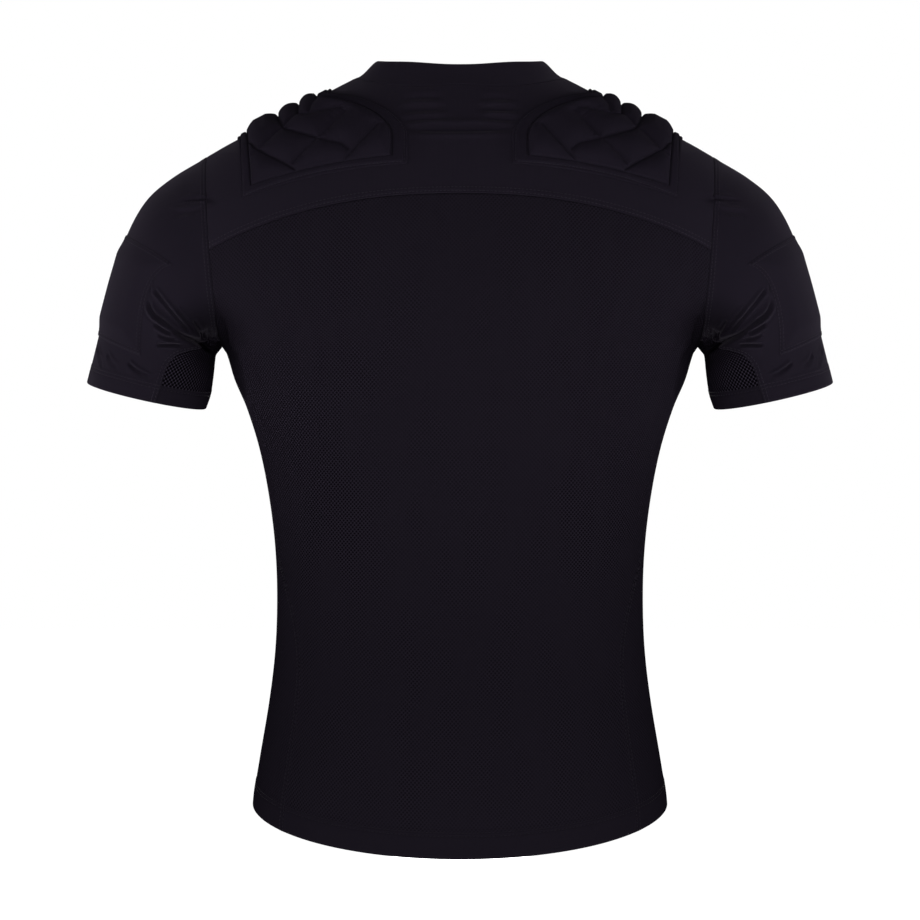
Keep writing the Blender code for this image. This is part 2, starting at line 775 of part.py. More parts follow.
def body(stretch, mesh_knit):
    cloth(
        "back_panel",
        body_panel(BACK, [HEM_LEVEL[BACK], CORNER_LEVEL[BACK], YOKE_LEVEL], [SIDE_ROWS, ARMHOLE_LOW_ROWS]),
        BODY_COLUMNS,
        SIDE_ROWS + ARMHOLE_LOW_ROWS,
        mesh_knit,
    )
    cloth(
        "back_yoke",
        body_panel(BACK, [YOKE_LEVEL, shoulder_level, NECK_LEVEL[BACK]], [ARMHOLE_HIGH_ROWS, RIDGE_ROWS]),
        BODY_COLUMNS,
        ARMHOLE_HIGH_ROWS + RIDGE_ROWS,
        stretch,
    )
    armhole_rows = ARMHOLE_LOW_ROWS + ARMHOLE_HIGH_ROWS
    cloth(
        "front_panel",
        body_panel(
            FRONT,
            [HEM_LEVEL[FRONT], CORNER_LEVEL[FRONT], shoulder_level, NECK_LEVEL[FRONT]],
            [SIDE_ROWS, armhole_rows, RIDGE_ROWS],
        ),
        BODY_COLUMNS,
        SIDE_ROWS + armhole_rows + RIDGE_ROWS,
        mesh_knit,
    )
    cloth("collar", collar, 2 * BODY_COLUMNS, COLLAR_ROWS, stretch, closed=True)
    right = cloth("side_panel_right", side_panel, SIDE_COLUMNS, SIDE_ROWS, mesh_knit)
    mirrored(right, "side_panel_left")


def sleeves(stretch, open_mesh):
    right = cloth("sleeve_right", sleeve, SLEEVE_COLUMNS, SLEEVE_ROWS, stretch)
    mirrored(right, "sleeve_left")
    right = cloth("underarm_gusset_right", gusset, GUSSET_COLUMNS, SLEEVE_ROWS, open_mesh)
    mirrored(right, "underarm_gusset_left")
    right = cloth(
        "bicep_pad_right", bicep_pad, BICEP_COLUMNS, BICEP_ROWS, stretch, BICEP_THICKNESS, bicep_height
    )
    mirrored(right, "bicep_pad_left")


def shoulder_pads(pad_cover):
    right = cloth(
        "shoulder_pad_right", shoulder_pad, PAD_COLUMNS, PAD_ROWS, pad_cover, PAD_THICKNESS, quilt_height
    )
    mirrored(right, "shoulder_pad_left")
    right = cloth(
        "pad_border_right",
        pad_border,
        2 * (BORDER_STEPS_ACROSS + BORDER_STEPS_ALONG),
        BORDER_ROWS,
        pad_cover,
        BORDER_THICKNESS,
        border_height,
        closed=True,
    )
    mirrored(right, "pad_border_left")


def main():
    clear_scene()
    stretch = fabric("black_stretch_knit", STRETCH_KNIT)
    mesh_knit = fabric("black_mesh_knit", MESH_KNIT)
    open_mesh = fabric("black_open_mesh", OPEN_MESH)
    pad_cover = fabric("black_pad_cover", PAD_COVER)
    body(stretch, mesh_knit)
    sleeves(stretch, open_mesh)
    shoulder_pads(pad_cover)


if __name__ == "__main__":
    main()
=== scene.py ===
# %% [markdown]
# # Rugby shoulder pads, filled out as worn
# The real top is sewn from black stretch knit, with quilted foam over the shoulders and thinner foam on the
# upper arms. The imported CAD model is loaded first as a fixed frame. It has the true sizes, so each piece
# made here takes the place of one of its solids and needs no fitting.

# %% Load the frame
import json
import math

import bmesh
import bpy
import numpy as np
from mathutils import Matrix, Vector


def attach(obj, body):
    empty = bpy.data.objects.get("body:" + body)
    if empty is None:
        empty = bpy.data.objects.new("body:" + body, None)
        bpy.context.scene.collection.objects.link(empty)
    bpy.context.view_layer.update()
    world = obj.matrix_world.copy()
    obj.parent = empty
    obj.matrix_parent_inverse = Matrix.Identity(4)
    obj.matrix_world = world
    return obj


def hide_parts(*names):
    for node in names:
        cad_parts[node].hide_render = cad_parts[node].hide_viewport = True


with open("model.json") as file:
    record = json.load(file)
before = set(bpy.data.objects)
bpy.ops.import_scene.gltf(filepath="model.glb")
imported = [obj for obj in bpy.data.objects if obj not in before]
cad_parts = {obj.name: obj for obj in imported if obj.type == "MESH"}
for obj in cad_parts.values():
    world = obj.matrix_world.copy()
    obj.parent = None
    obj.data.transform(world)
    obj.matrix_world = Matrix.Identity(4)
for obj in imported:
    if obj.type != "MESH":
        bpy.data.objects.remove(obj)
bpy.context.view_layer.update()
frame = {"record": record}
BACK, FRONT = -1, 1

# %% [markdown]
# ## The photographer's place
# The picture was taken from behind with a long lens, level with the middle of the back. A camera three
# metres away with a narrow view gives the same flat perspective, with 0.9 mm to a pixel of a 920-pixel
# frame at the plane of the side seams.

# %% Camera
CAMERA_DISTANCE, CAMERA_HEIGHT, FRAME_WIDTH = 3.0, -0.3384, 0.828

camera_data = bpy.data.cameras.new("camera")
camera_data.sensor_width = 36.0
camera_data.lens = camera_data.sensor_width * CAMERA_DISTANCE / FRAME_WIDTH
camera = bpy.data.objects.new("camera", camera_data)
camera.location = (0.0, -CAMERA_DISTANCE, CAMERA_HEIGHT)
camera.rotation_euler = (math.radians(90), 0.0, 0.0)
bpy.context.scene.collection.objects.link(camera)
bpy.context.scene.camera = camera
print("lens:", round(camera_data.lens, 1), "mm")

# %% [markdown]
# ## A white studio
# The cloth is nearly black and the surroundings are white, so most of its light comes from all around. The
# world gives that. A large soft light behind the camera makes the middle of the back brighter than its
# sides. One at each side has a narrow spread and points upwards, so that it reaches the arms and not the
# waist, and a fill lights the front.

# %% World and lights
WORLD_STRENGTH, MIDDLE_OF_BACK = 0.22, (0.0, 0.0, -0.30)
# Name, place, the point it faces, size in metres, power in watts and spread in degrees
LIGHTS = [
    ("behind_camera", (0.0, -3.4, -0.5), MIDDLE_OF_BACK, 1.6, 70.0, 180.0),
    ("front_fill", (0.0, 3.4, -0.3), MIDDLE_OF_BACK, 1.6, 50.0, 180.0),
    ("left_side", (-2.4, -0.40, -0.6), (-0.34, 0.04, -0.17), 0.4, 0.33, 10.0),
    ("right_side", (2.4, -0.40, -0.6), (0.34, 0.04, -0.17), 0.4, 0.33, 10.0),
]


def white_world(name, strength):
    """A white backdrop to the camera that lights the cloth with less strength."""
    world = bpy.data.worlds.new(name)
    world.use_nodes = True
    nodes, links = world.node_tree.nodes, world.node_tree.links
    path = nodes.new("ShaderNodeLightPath")
    level = nodes.new("ShaderNodeMapRange")
    level.inputs["To Min"].default_value = strength
    level.inputs["To Max"].default_value = 1.0
    links.new(path.outputs["Is Camera Ray"], level.inputs["Value"])
    links.new(level.outputs["Result"], nodes["Background"].inputs["Strength"])
    nodes["Background"].inputs["Color"].default_value = (1.0, 1.0, 1.0, 1.0)
    bpy.context.scene.world = world


def soft_light(name, place, target, size, power, spread):
    """A square lamp that faces a point."""
    data = bpy.data.lights.new(name, "AREA")
    data.size, data.energy, data.spread = size, power, math.radians(spread)
    lamp = bpy.data.objects.new(name, data)
    lamp.location = place
    lamp.rotation_euler = (Vector(target) - Vector(place)).to_track_quat("-Z", "Y").to_euler()
    bpy.context.scene.collection.objects.link(lamp)


white_world("white_studio", WORLD_STRENGTH)
for light in LIGHTS:
    soft_light(*light)
print("lights:", ", ".join(light[0] for light in LIGHTS))

# %% [markdown]
# The floor lies well below the hem. It glows, because a floor with no light of its own would be greyer than
# the background.

# %% Floor
FLOOR_HEIGHT, FLOOR_SIZE, FLOOR_GLOW = -1.1, 24.0, 0.85


def new_material(name):
    """A material and its shader."""
    material = bpy.data.materials.new(name)
    material.use_nodes = True
    return material, material.node_tree.nodes["Principled BSDF"]


def pale_floor(size):
    """A wide floor that glows a little."""
    shape = bmesh.new()
    bmesh.ops.create_grid(shape, x_segments=8, y_segments=8, size=size / 2)
    bmesh.ops.translate(shape, verts=shape.verts, vec=(0.0, 0.0, FLOOR_HEIGHT))
    mesh = bpy.data.meshes.new("studio_floor")
    shape.to_mesh(mesh)
    shape.free()
    floor = bpy.data.objects.new("studio_floor", mesh)
    bpy.context.scene.collection.objects.link(floor)
    material, shader = new_material("studio_white")
    shader.inputs["Base Color"].default_value = (0.9, 0.9, 0.9, 1.0)
    shader.inputs["Roughness"].default_value = 0.9
    shader.inputs["Specular IOR Level"].default_value = 0.0
    shader.inputs["Emission Color"].default_value = (1.0, 1.0, 1.0, 1.0)
    shader.inputs["Emission Strength"].default_value = FLOOR_GLOW
    mesh.materials.append(material)


pale_floor(FLOOR_SIZE)
print("floor is", FLOOR_HEIGHT, "m high")

# %% [markdown]
# ## The body as one smooth form
# A close-fitting top is easiest to keep true when all of its panels are read from one form. Here that form
# is a stack of rings: a table gives the half width of each ring and another its depth at the back and
# front. A smooth curve through each table's rows is sampled once, so that NumPy can read thousands of
# places at a time.

# %% Smooth curves through short tables
CURVE_SAMPLES = 4001


def through(rows, column):
    """A function that reads one column of a table along its first column, on a smooth curve."""
    places = np.array([row[0] for row in rows], float)
    values = np.array([row[column] for row in rows], float)
    last = len(places) - 1
    before, after = np.maximum(np.arange(last + 1) - 1, 0), np.minimum(np.arange(last + 1) + 1, last)
    slopes = (values[after] - values[before]) / (places[after] - places[before])
    fine = np.linspace(places[0], places[-1], CURVE_SAMPLES)
    i = np.clip(np.searchsorted(places, fine, side="right") - 1, 0, last - 1)
    span, rise = places[i + 1] - places[i], values[i + 1] - values[i]
    t, start, end = (fine - places[i]) / span, slopes[i] * span, slopes[i + 1] * span
    curve = values[i] + t * (start + t * (3 * rise - 2 * start - end + t * (start + end - 2 * rise)))
    return lambda place: np.interp(place, fine, curve)


# Height and half width at the sides, from hem to underarm
SIDE_LINE = [
    (-0.7200, 0.1890), (-0.6444, 0.1858), (-0.6084, 0.1805), (-0.5544, 0.1715), (-0.5094, 0.1662),
    (-0.4644, 0.1645), (-0.4194, 0.1660), (-0.3744, 0.1712), (-0.3294, 0.1800), (-0.2916, 0.1917),
    (-0.2664, 0.2025), (-0.2484, 0.2079), (-0.2412, 0.2106), (-0.2367, 0.2142),
]
# Height and half width along the top of the shoulders, from the armhole to the neck
RIDGE = [
    (-0.0660, 0.2268), (-0.0549, 0.2075), (-0.0290, 0.1585), (-0.0027, 0.1080), (0.0045, 0.0945),
    (0.0300, 0.0600),
]
# Height, depth of the back and depth of the front
DEPTH = [
    (-0.7200, 0.1240, 0.1100), (-0.6400, 0.1210, 0.1070), (-0.5800, 0.1120, 0.1030),
    (-0.5200, 0.1010, 0.1010), (-0.4650, 0.0955, 0.1010), (-0.4000, 0.0980, 0.1060),
    (-0.3400, 0.1055, 0.1140), (-0.2850, 0.1135, 0.1210), (-0.2385, 0.1190, 0.1240),
    (-0.1800, 0.1210, 0.1200), (-0.1200, 0.1150, 0.1060), (-0.0660, 0.0990, 0.0830),
    (-0.0400, 0.0860, 0.0690), (-0.0150, 0.0725, 0.0550), (0.0045, 0.0620, 0.0450),
    (0.0300, 0.0500, 0.0360),
]
side_line, ridge_line = through(SIDE_LINE, 1), through(RIDGE, 1)
depth_line = {BACK: through(DEPTH, 1), FRONT: through(DEPTH, 2)}
print("chest is", round(float(depth_line[BACK](-0.2) + depth_line[FRONT](-0.2)), 3), "m deep")

# %% [markdown]
# Beside the armholes a ring is cut off where it meets the armhole's oval, so the width there follows from
# the oval. Everywhere else the ring closes at the side seam or at the top of the shoulder.

# %% Rings of the body
SQUARENESS = 0.12
ARMHOLE_TOP, UNDERARM = np.array((0.2268, 0.0, -0.0660)), np.array((0.2142, 0.0, -0.2367))
ARMHOLE_HALF_DEPTH = 0.076
ARMHOLE_MIDDLE, ARMHOLE_HALF = (ARMHOLE_TOP[2] + UNDERARM[2]) / 2, (ARMHOLE_TOP[2] - UNDERARM[2]) / 2
RIGHT_ANGLE, NUDGE, SETTLING_ROUNDS = math.pi / 2, 2e-4, 12


def mix(first, last, share):
    """A value some share of the way from first to last."""
    return first + (last - first) * share


def ease(share):
    """A smooth step from 0 to 1."""
    share = np.clip(share, 0.0, 1.0)
    return share * share * (3 - 2 * share)


def ring(side, height):
    """Half width, depth, and the angle where this half of the ring ends."""
    depth = depth_line[side](height)
    level = np.clip((height - ARMHOLE_MIDDLE) / ARMHOLE_HALF, -1.0, 1.0)
    share = ARMHOLE_HALF_DEPTH * np.sqrt(1 - level * level) / depth
    cosine = share
    # The angle of a squared ring has no plain formula, so it is put in again until it settles
    for _ in range(SETTLING_ROUNDS):
        cosine = (share + SQUARENESS * cosine**3) / (1 + SQUARENESS)
    limit = np.arccos(cosine)
    edge = mix(UNDERARM[0], ARMHOLE_TOP[0], (level + 1) / 2)
    half_width = np.where(height <= UNDERARM[2], side_line(height), edge / np.sin(limit))
    half_width = np.where(height >= ARMHOLE_TOP[2], ridge_line(height), half_width)
    return half_width, depth, limit


def body_point(side, angle, height):
    """Points by their angle from the centre line of the back or front, and their height."""
    half_width, depth, _ = ring(side, height)
    sine = np.sin(angle)
    forth = side * depth * np.cos(angle) * (1 + SQUARENESS * sine * sine)
    return np.stack(np.broadcast_arrays(half_width * sine, forth, height), axis=-1)


def unit(vectors):
    return vectors / np.maximum(np.linalg.norm(vectors, axis=-1, keepdims=True), 1e-12)


def body_normal(side, angle, height):
    across = body_point(side, angle + NUDGE, height) - body_point(side, angle - NUDGE, height)
    up = body_point(side, angle, height + NUDGE) - body_point(side, angle, height - NUDGE)
    return unit(np.cross(across, up) * -side)


print("underarm to underarm:", round(2 * float(ring(BACK, -0.2367)[0]), 3), "m")

# %% [markdown]
# ## Where the panels end
# Each seam is a rule on that form: the hem dips at the back, the yoke seam arches over the shoulder blades,
# the neck is an oval in plan, and the side panels widen below the waist. A seam's height on a given line up
# the body is found by halving a span again and again, for all lines at once.

# %% Seam lines
HEM_AT_SIDE, HEM_DROP, HEM_POWER = -0.6475, {BACK: 0.0358, FRONT: 0.022}, 1.25
YOKE_HEIGHT, YOKE_DROP, YOKE_REACH, YOKE_POWER = -0.107, 0.0461, 0.2187, 2.35
NECK_HALF_WIDTH, NECK_DEPTH, NECK_POWER = 0.0945, {BACK: 0.0685, FRONT: 0.0750}, {BACK: 2.7, FRONT: 2.3}
HALVINGS = 36
# Height, and the side panel's half width as an angle
SIDE_PANEL = [
    (-0.7200, 33.0), (-0.5400, 32.5), (-0.4930, 29.0), (-0.4500, 20.0), (-0.4200, 12.0), (-0.3500, 8.0),
    (-0.2300, 7.0),
]
side_panel_line = through(SIDE_PANEL, 1)


def crossing(holds, low, high):
    """Where a test that holds at low stops holding on the way to high, for whole arrays."""
    for _ in range(HALVINGS):
        middle = (low + high) / 2
        held = holds(middle)
        low, high = np.where(held, middle, low), np.where(held, high, middle)
    return low


def side_angle(height):
    return np.radians(side_panel_line(height))


CORNER = {
    side: float(crossing(
        lambda height, side=side: ring(side, height)[2] > RIGHT_ANGLE - side_angle(height),
        UNDERARM[2], ARMHOLE_MIDDLE,
    ))
    for side in (BACK, FRONT)
}


print("side seams meet the armholes at", {side: round(height, 4) for side, height in CORNER.items()})

# %% [markdown]
# The panels are read across from their left edge at -1 to their right edge at 1. For each line up a panel,
# the heights of its hem, its yoke seam and its neck edge follow from the rules above.

# %% Levels of the seams
def edge_angle(side, height):
    """The angle where a back or front panel ends."""
    return np.where(height < CORNER[side], RIGHT_ANGLE - side_angle(height), ring(side, height)[2])


def hem_level(side, across):
    angle = across * edge_angle(side, HEM_AT_SIDE)
    return HEM_AT_SIDE - HEM_DROP[side] * np.maximum(np.cos(angle), 0.0) ** HEM_POWER


def yoke_level(across):
    def below(height):
        x = body_point(BACK, across * edge_angle(BACK, height), height)[..., 0]
        return height < YOKE_HEIGHT - YOKE_DROP * (np.abs(x) / YOKE_REACH) ** YOKE_POWER

    return crossing(below, np.full_like(across, UNDERARM[2]), np.full_like(across, ARMHOLE_TOP[2]))


def neck_level(side, across):
    def outside(height):
        point = body_point(side, across * edge_angle(side, height), height)
        wide = np.abs(point[..., 0]) / NECK_HALF_WIDTH
        deep = np.abs(point[..., 1]) / NECK_DEPTH[side]
        return wide ** NECK_POWER[side] + deep ** NECK_POWER[side] > 1

    return crossing(outside, np.full_like(across, ARMHOLE_TOP[2]), np.full_like(across, RIDGE[-1][0]))


print("yoke seam is at", round(float(yoke_level(np.zeros(1))[0]), 3), "m in the middle of the back")

# %% [markdown]
# ## Cutting and sewing
# Every piece is a grid of points in rows and columns. create_grid makes the flat cloth and an extrusion its
# second side, then both sides are laid on their points. The same grid gives distances along the cloth,
# which serve three times: for the UV map that carries the knit, for edges that turn in where they are sewn,
# and for the lines of stitches.

# %% Cloth from two layers of points
def lengths(points, axis):
    """Distance run along the rows or columns of a grid of points."""
    run = np.cumsum(np.linalg.norm(np.diff(points, axis=axis), axis=-1), axis=axis)
    return np.concatenate([np.zeros_like(np.take(run, [0], axis=axis)), run], axis=axis)


def flat_cloth(rows, columns):
    """A flat grid, one metre square."""
    shape = bmesh.new()
    bmesh.ops.create_grid(shape, x_segments=columns - 1, y_segments=rows - 1, size=0.5)
    return shape


def as_mesh(name, shape, rows, columns):
    """A mesh of flat cloth, with the row and the column of each vertex."""
    flat = np.array([vert.co.xy for vert in shape.verts]) + 0.5
    mesh = bpy.data.meshes.new(name)
    shape.to_mesh(mesh)
    shape.free()
    column, row = np.rint(flat * (columns - 1, rows - 1)).astype(int).T
    return mesh, row, column


def spread_uv(mesh, outer, row, column):
    """A UV map in metres, by the distances run along the grid from its middle column and lowest row."""
    along, up = lengths(outer, 1), lengths(outer, 0)
    along -= along[:, [outer.shape[1] // 2]]
    corner = np.empty(len(mesh.loops), np.int32)
    mesh.loops.foreach_get("vertex_index", corner)
    spread = np.stack([along[row, column], up[row, column]], axis=-1)[corner]
    mesh.uv_layers.new(name="cloth").data.foreach_set("uv", spread.astype(np.float32).ravel())


def lay_cloth(name, outer, inner, closed=False):
    """A piece of cloth between two grids of points. A closed one is sewn end to end."""
    rows, columns = outer.shape[:2]
    shape = flat_cloth(rows, columns)
    made = bmesh.ops.extrude_face_region(shape, geom=shape.faces[:])
    top = {part for part in made["geom"] if isinstance(part, bmesh.types.BMVert)}
    if closed:
        ends = [face for face in shape.faces if abs(face.calc_center_median().x) > 0.5 - 1e-5]
        bmesh.ops.delete(shape, geom=ends, context="FACES_ONLY")
    on_top = np.array([vert in top for vert in shape.verts])
    mesh, row, column = as_mesh(name, shape, rows, columns)
    places = np.where(on_top[:, None], outer[row, column], inner[row, column])
    mesh.vertices.foreach_set("co", places.astype(np.float32).ravel())
    spread_uv(mesh, outer, row, column)
    turned = bmesh.new()
    turned.from_mesh(mesh)
    if closed:
        bmesh.ops.remove_doubles(turned, verts=turned.verts, dist=1e-6)
    bmesh.ops.recalc_face_normals(turned, faces=turned.faces)
    turned.to_mesh(mesh)
    turned.free()
    mesh.shade_smooth()
    return place(name, mesh)


trial = flat_cloth(3, 4)
print("flat cloth of 3 by 4 points has", len(trial.faces), "faces")
trial.free()

# %% [markdown]
# Each finished piece rides on the frame's one body. The top's two sides are alike, so pieces that come in
# pairs are made once and mirrored. Rows and columns needn't be even: they lie closer together at sewn
# edges, where the cloth turns in within a millimetre or two.

# %% Placing, mirroring and spacing
PIECES = {}
FINE_STEPS = np.array((0.0, 0.0004, 0.0009, 0.0015, 0.0022, 0.0030, 0.0038, 0.0046, 0.0056, 0.0070))


def place(name, mesh):
    """An object of its own name, because the CAD node already has the plain one."""
    piece = bpy.data.objects.new(name + "_sewn", mesh)
    bpy.context.scene.collection.objects.link(piece)
    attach(piece, "root")
    PIECES[name] = piece
    return piece


def mirrored(piece, name):
    """The same piece on the wearer's left."""
    mesh = piece.data.copy()
    mesh.transform(Matrix.Scale(-1, 4, Vector((1, 0, 0))))
    mesh.flip_normals()
    return place(name, mesh)


def spread_steps(low, high, count, reach, fine_low=True, fine_high=True):
    """Steps from low to high over a reach in metres, with finer ones at the sewn ends."""
    fine = FINE_STEPS / reach * (high - low)
    first = low + fine if fine_low else np.array([low])
    last = high - fine[::-1] if fine_high else np.array([high])
    return np.concatenate([first, np.linspace(first[-1], last[0], count + 1)[1:-1], last])


def crowded(steps, *stretches):
    """Steps of which a count lies in each stretch, given as (low, high, count)."""
    kept = [step for step in steps if not any(low < step < high for low, high, _ in stretches)]
    return np.unique(np.concatenate([kept, *(np.linspace(*stretch) for stretch in stretches)]))


print("steps up a panel of 0.2 m:", len(spread_steps(0.0, 1.0, 20, 0.2)))

# %% [markdown]
# A sewn or folded edge is never sharp. Both sides of the cloth close in towards its middle there, so two
# panels that meet leave a soft groove. Along a row of stitches the thread pulls the cloth in by a few
# tenths of a millimetre, and the folded band beside it stands a little proud. Where a sleeve meets the
# body, a few rows more turn in behind the next panel, as a seam allowance does, so that no light comes
# through the seam.

# %% Edges and stitched bands
WALL, EDGE_ROUND, EDGE_TURN = 0.0016, 0.0015, 0.98
STITCH_PULL, STITCH_WIDTH = 0.00045, 0.0007
BAND_RISE, BAND_BEYOND, BAND_SLOPE = 0.0004, 0.0022, 0.0012


def edge_distances(points):
    across, up = lengths(points, 1), lengths(points, 0)
    return {"left": across, "right": across[:, -1:] - across, "bottom": up, "top": up[-1:] - up}


def tucked(distance):
    """How far each side of the cloth closes in near an edge."""
    share = np.clip(1 - distance / EDGE_ROUND, 0.0, 1.0)
    return WALL / 2 * (1 - np.sqrt(1 - share**2 * EDGE_TURN))


# Reach and depth of the rows of a seam allowance, half its thickness, and the row that it is aimed from
ALLOWANCE, ALLOWANCE_HALF = ((0.0001, 0.0003), (0.0004, 0.0008), (0.0013, 0.0012)), 0.00012
AIM_ROW = -6


def with_allowance(outer, inner, normals):
    """Both layers with a few rows more, which turn in behind the next panel at the top edge."""
    edge = (outer[-1] + inner[-1]) / 2
    onward = unit(edge - (outer[AIM_ROW] + inner[AIM_ROW]) / 2)
    rows = np.stack([edge + onward * reach - normals[-1] * depth for reach, depth in ALLOWANCE])
    aside = normals[-1] * ALLOWANCE_HALF
    return np.concatenate([outer, rows + aside]), np.concatenate([inner, rows - aside])


def tailored(name, points, normals, bands=None, relief=0.0, closed=False, allowance=False):
    """A panel on the form: raised or sunk by its relief, pulled in at stitches, rounded at its edges."""
    distances = edge_distances(points)
    edges = ("bottom", "top") if closed else tuple(distances)
    relief = relief + np.zeros(points.shape[:2])
    for edge, rows in (bands or {}).items():
        inside = ease((rows[-1] + BAND_BEYOND - distances[edge]) / BAND_SLOPE)
        relief = relief + BAND_RISE * inside
        for row in rows:
            relief = relief - STITCH_PULL * np.exp(-(((distances[edge] - row) / STITCH_WIDTH) ** 2))
    tuck = np.max([tucked(distances[edge]) for edge in edges], axis=0)
    outer = points + normals * (relief - tuck)[..., None]
    inner = points + normals * (relief - WALL + tuck)[..., None]
    layers = with_allowance(outer, inner, normals) if allowance else (outer, inner)
    piece = lay_cloth(name, *layers, closed)
    return piece, {"outer": outer, "normals": normals, "distances": distances}


print("cloth wall:", WALL * 1000, "mm")

# %% [markdown]
# ## Back panel, yoke and front panel
# On the real top these are knitted panels that stretch round the body. Their lattices run up the form from
# level to level: hem, the top of the hem's fold, the corner where the side seam meets the armhole, the yoke
# seam, the shoulder and the neck. Rows lie closer together at the stitched hem and at the seams.

# %% Lattices on the body
HEM_FOLD = 0.0300
HEM_ROWS = (0.0196, 0.0228)
HEM_STEPS = np.array((
    0.0, 0.0004, 0.0010, 0.0018, 0.0035, 0.0070, 0.0110, 0.0150, 0.0178, 0.0184, 0.0190, 0.0196, 0.0202,
    0.0208, 0.0214, 0.0221, 0.0228, 0.0235, 0.0242, 0.0252, 0.0270, 0.0300,
)) / HEM_FOLD
ARMHOLE_ROWS, YOKE_ROWS, SIDE_ROWS = (0.0020, 0.0050), (0.0022, 0.0056), (0.0020,)


def armhole_steps(low, high, shares):
    """Shares of a climb from low to high that step evenly round the armhole's oval."""
    turn = np.arccos(np.clip((ARMHOLE_MIDDLE - np.array((low, high))) / ARMHOLE_HALF, -1.0, 1.0))
    heights = ARMHOLE_MIDDLE - ARMHOLE_HALF * np.cos(mix(turn[0], turn[1], shares))
    return (heights - low) / (high - low)


def climb(*stretches):
    """Heights of a lattice, from stretches of (lower level, upper level, shares of the climb)."""
    parts = []
    for low, high, shares in stretches:
        part = low + (high - low) * np.asarray(shares)[:, None]
        parts.append(part[1:] if parts else part)
    return np.concatenate(parts)


def body_lattice(side, across, heights):
    angle = across * edge_angle(side, heights)
    return body_point(side, angle, heights), body_normal(side, angle, heights)


ACROSS = {BACK: spread_steps(-1.0, 1.0, 104, 0.40), FRONT: spread_steps(-1.0, 1.0, 56, 0.42)}
LEVELS = {
    side: {
        "hem": hem_level(side, across), "corner": np.full_like(across, CORNER[side]),
        "shoulder": np.full_like(across, ARMHOLE_TOP[2]), "neck": neck_level(side, across),
    }
    for side, across in ACROSS.items()
}
LEVELS[BACK]["yoke"] = yoke_level(ACROSS[BACK])
print("columns across the back:", len(ACROSS[BACK]))

# %% [markdown]
# Worn cloth folds where it is drawn in or has too much length. Here a fold is a line on the form with a
# depth and a width: the cloth sinks along it and, beside a narrow one, swells a little. Its ends fade out.

# %% A fold in cloth
def nearest(points, path):
    """Distance from each point to a path, and the share of the path where it is nearest."""
    run = np.concatenate([[0.0], np.cumsum(np.linalg.norm(np.diff(path, axis=0), axis=1))])
    best = np.full(points.shape[:-1], np.inf)
    share = np.zeros(points.shape[:-1])
    for start, end, before in zip(path, path[1:], run):
        way = end - start
        size = np.linalg.norm(way)
        t = np.clip((points - start) @ way / size**2, 0.0, 1.0)
        away = np.linalg.norm(points - start - t[..., None] * way, axis=-1)
        share = np.where(away < best, (before + t * size) / run[-1], share)
        best = np.minimum(best, away)
    return best, share


HOLLOW_WIDTH, SWELL_SHARE, SWELL_AT, TROUGH_POWER = 0.0050, 0.5, 1.9, 1.6


def fold(points, path, depth, width, fade=(0.3, 0.3)):
    """The rise of cloth along a fold: a trough that fades at its ends, and a swell beside a narrow one."""
    away, share = nearest(points, np.asarray(path))
    near = away / width
    strength = ease(share / fade[0]) * ease((1 - share) / fade[1])
    swell = SWELL_SHARE if width < HOLLOW_WIDTH else 0.0
    return depth * strength * (swell * np.exp(-((near - SWELL_AT) ** 2)) - np.exp(-(near**TROUGH_POWER)))


def smooth_path(places, count=24):
    """More places on a smooth curve through a few."""
    places = np.asarray(places, float)
    steps = np.linspace(0.0, 1.0, len(places))
    rows = np.column_stack([steps, places])
    fine = np.linspace(0.0, 1.0, count)
    return np.stack([through(rows, i + 1)(fine) for i in range(places.shape[1])], axis=-1)


trial = fold(np.zeros((1, 3)), [(-0.01, 0.0, 0.0), (0.01, 0.0, 0.0)], 0.002, 0.003)
print("a fold 2 mm deep sinks the cloth by", round(-1000 * float(trial[0]), 2), "mm")

# %% [markdown]
# The yoke is drawn between the two pads, which leaves soft folds across it below the neck. At each underarm
# the cloth gathers into short upright pulls, and one sharp pull crosses the armhole below the shoulder. The
# places of the folds are listed.

# %% Folds of the body
def on_body(side, places):
    """Points of the form by their distance from the centre line and their height."""
    places = np.asarray(places)
    angle = np.arcsin(np.clip(places[:, 0] / ring(side, places[:, 1])[0], -1.0, 1.0))
    return body_point(side, angle, places[:, 1])


# Depth, width, then places by distance from the centre line and height
YOKE_FOLDS = [
    (0.0014, 0.0028, [(-0.050, -0.0205), (-0.034, -0.0198), (-0.016, -0.0196)]),
    (0.0013, 0.0028, [(0.018, -0.0202), (0.036, -0.0208), (0.050, -0.0214)]),
    (0.0027, 0.0030, [(-0.056, -0.0312), (-0.036, -0.0306), (-0.012, -0.0302)]),
    (0.0024, 0.0030, [(0.014, -0.0304), (0.034, -0.0308), (0.055, -0.0313)]),
    (0.0016, 0.0026, [(-0.054, -0.0352), (-0.034, -0.0346), (-0.018, -0.0344)]),
    (0.0023, 0.0028, [(-0.053, -0.0408), (-0.034, -0.0400), (-0.010, -0.0396)]),
    (0.0024, 0.0028, [(0.020, -0.0398), (0.036, -0.0402), (0.052, -0.0410)]),
    (0.0036, 0.0034, [
        (-0.052, -0.0478), (-0.030, -0.0490), (0.000, -0.0492), (0.030, -0.0486), (0.053, -0.0474),
    ]),
]
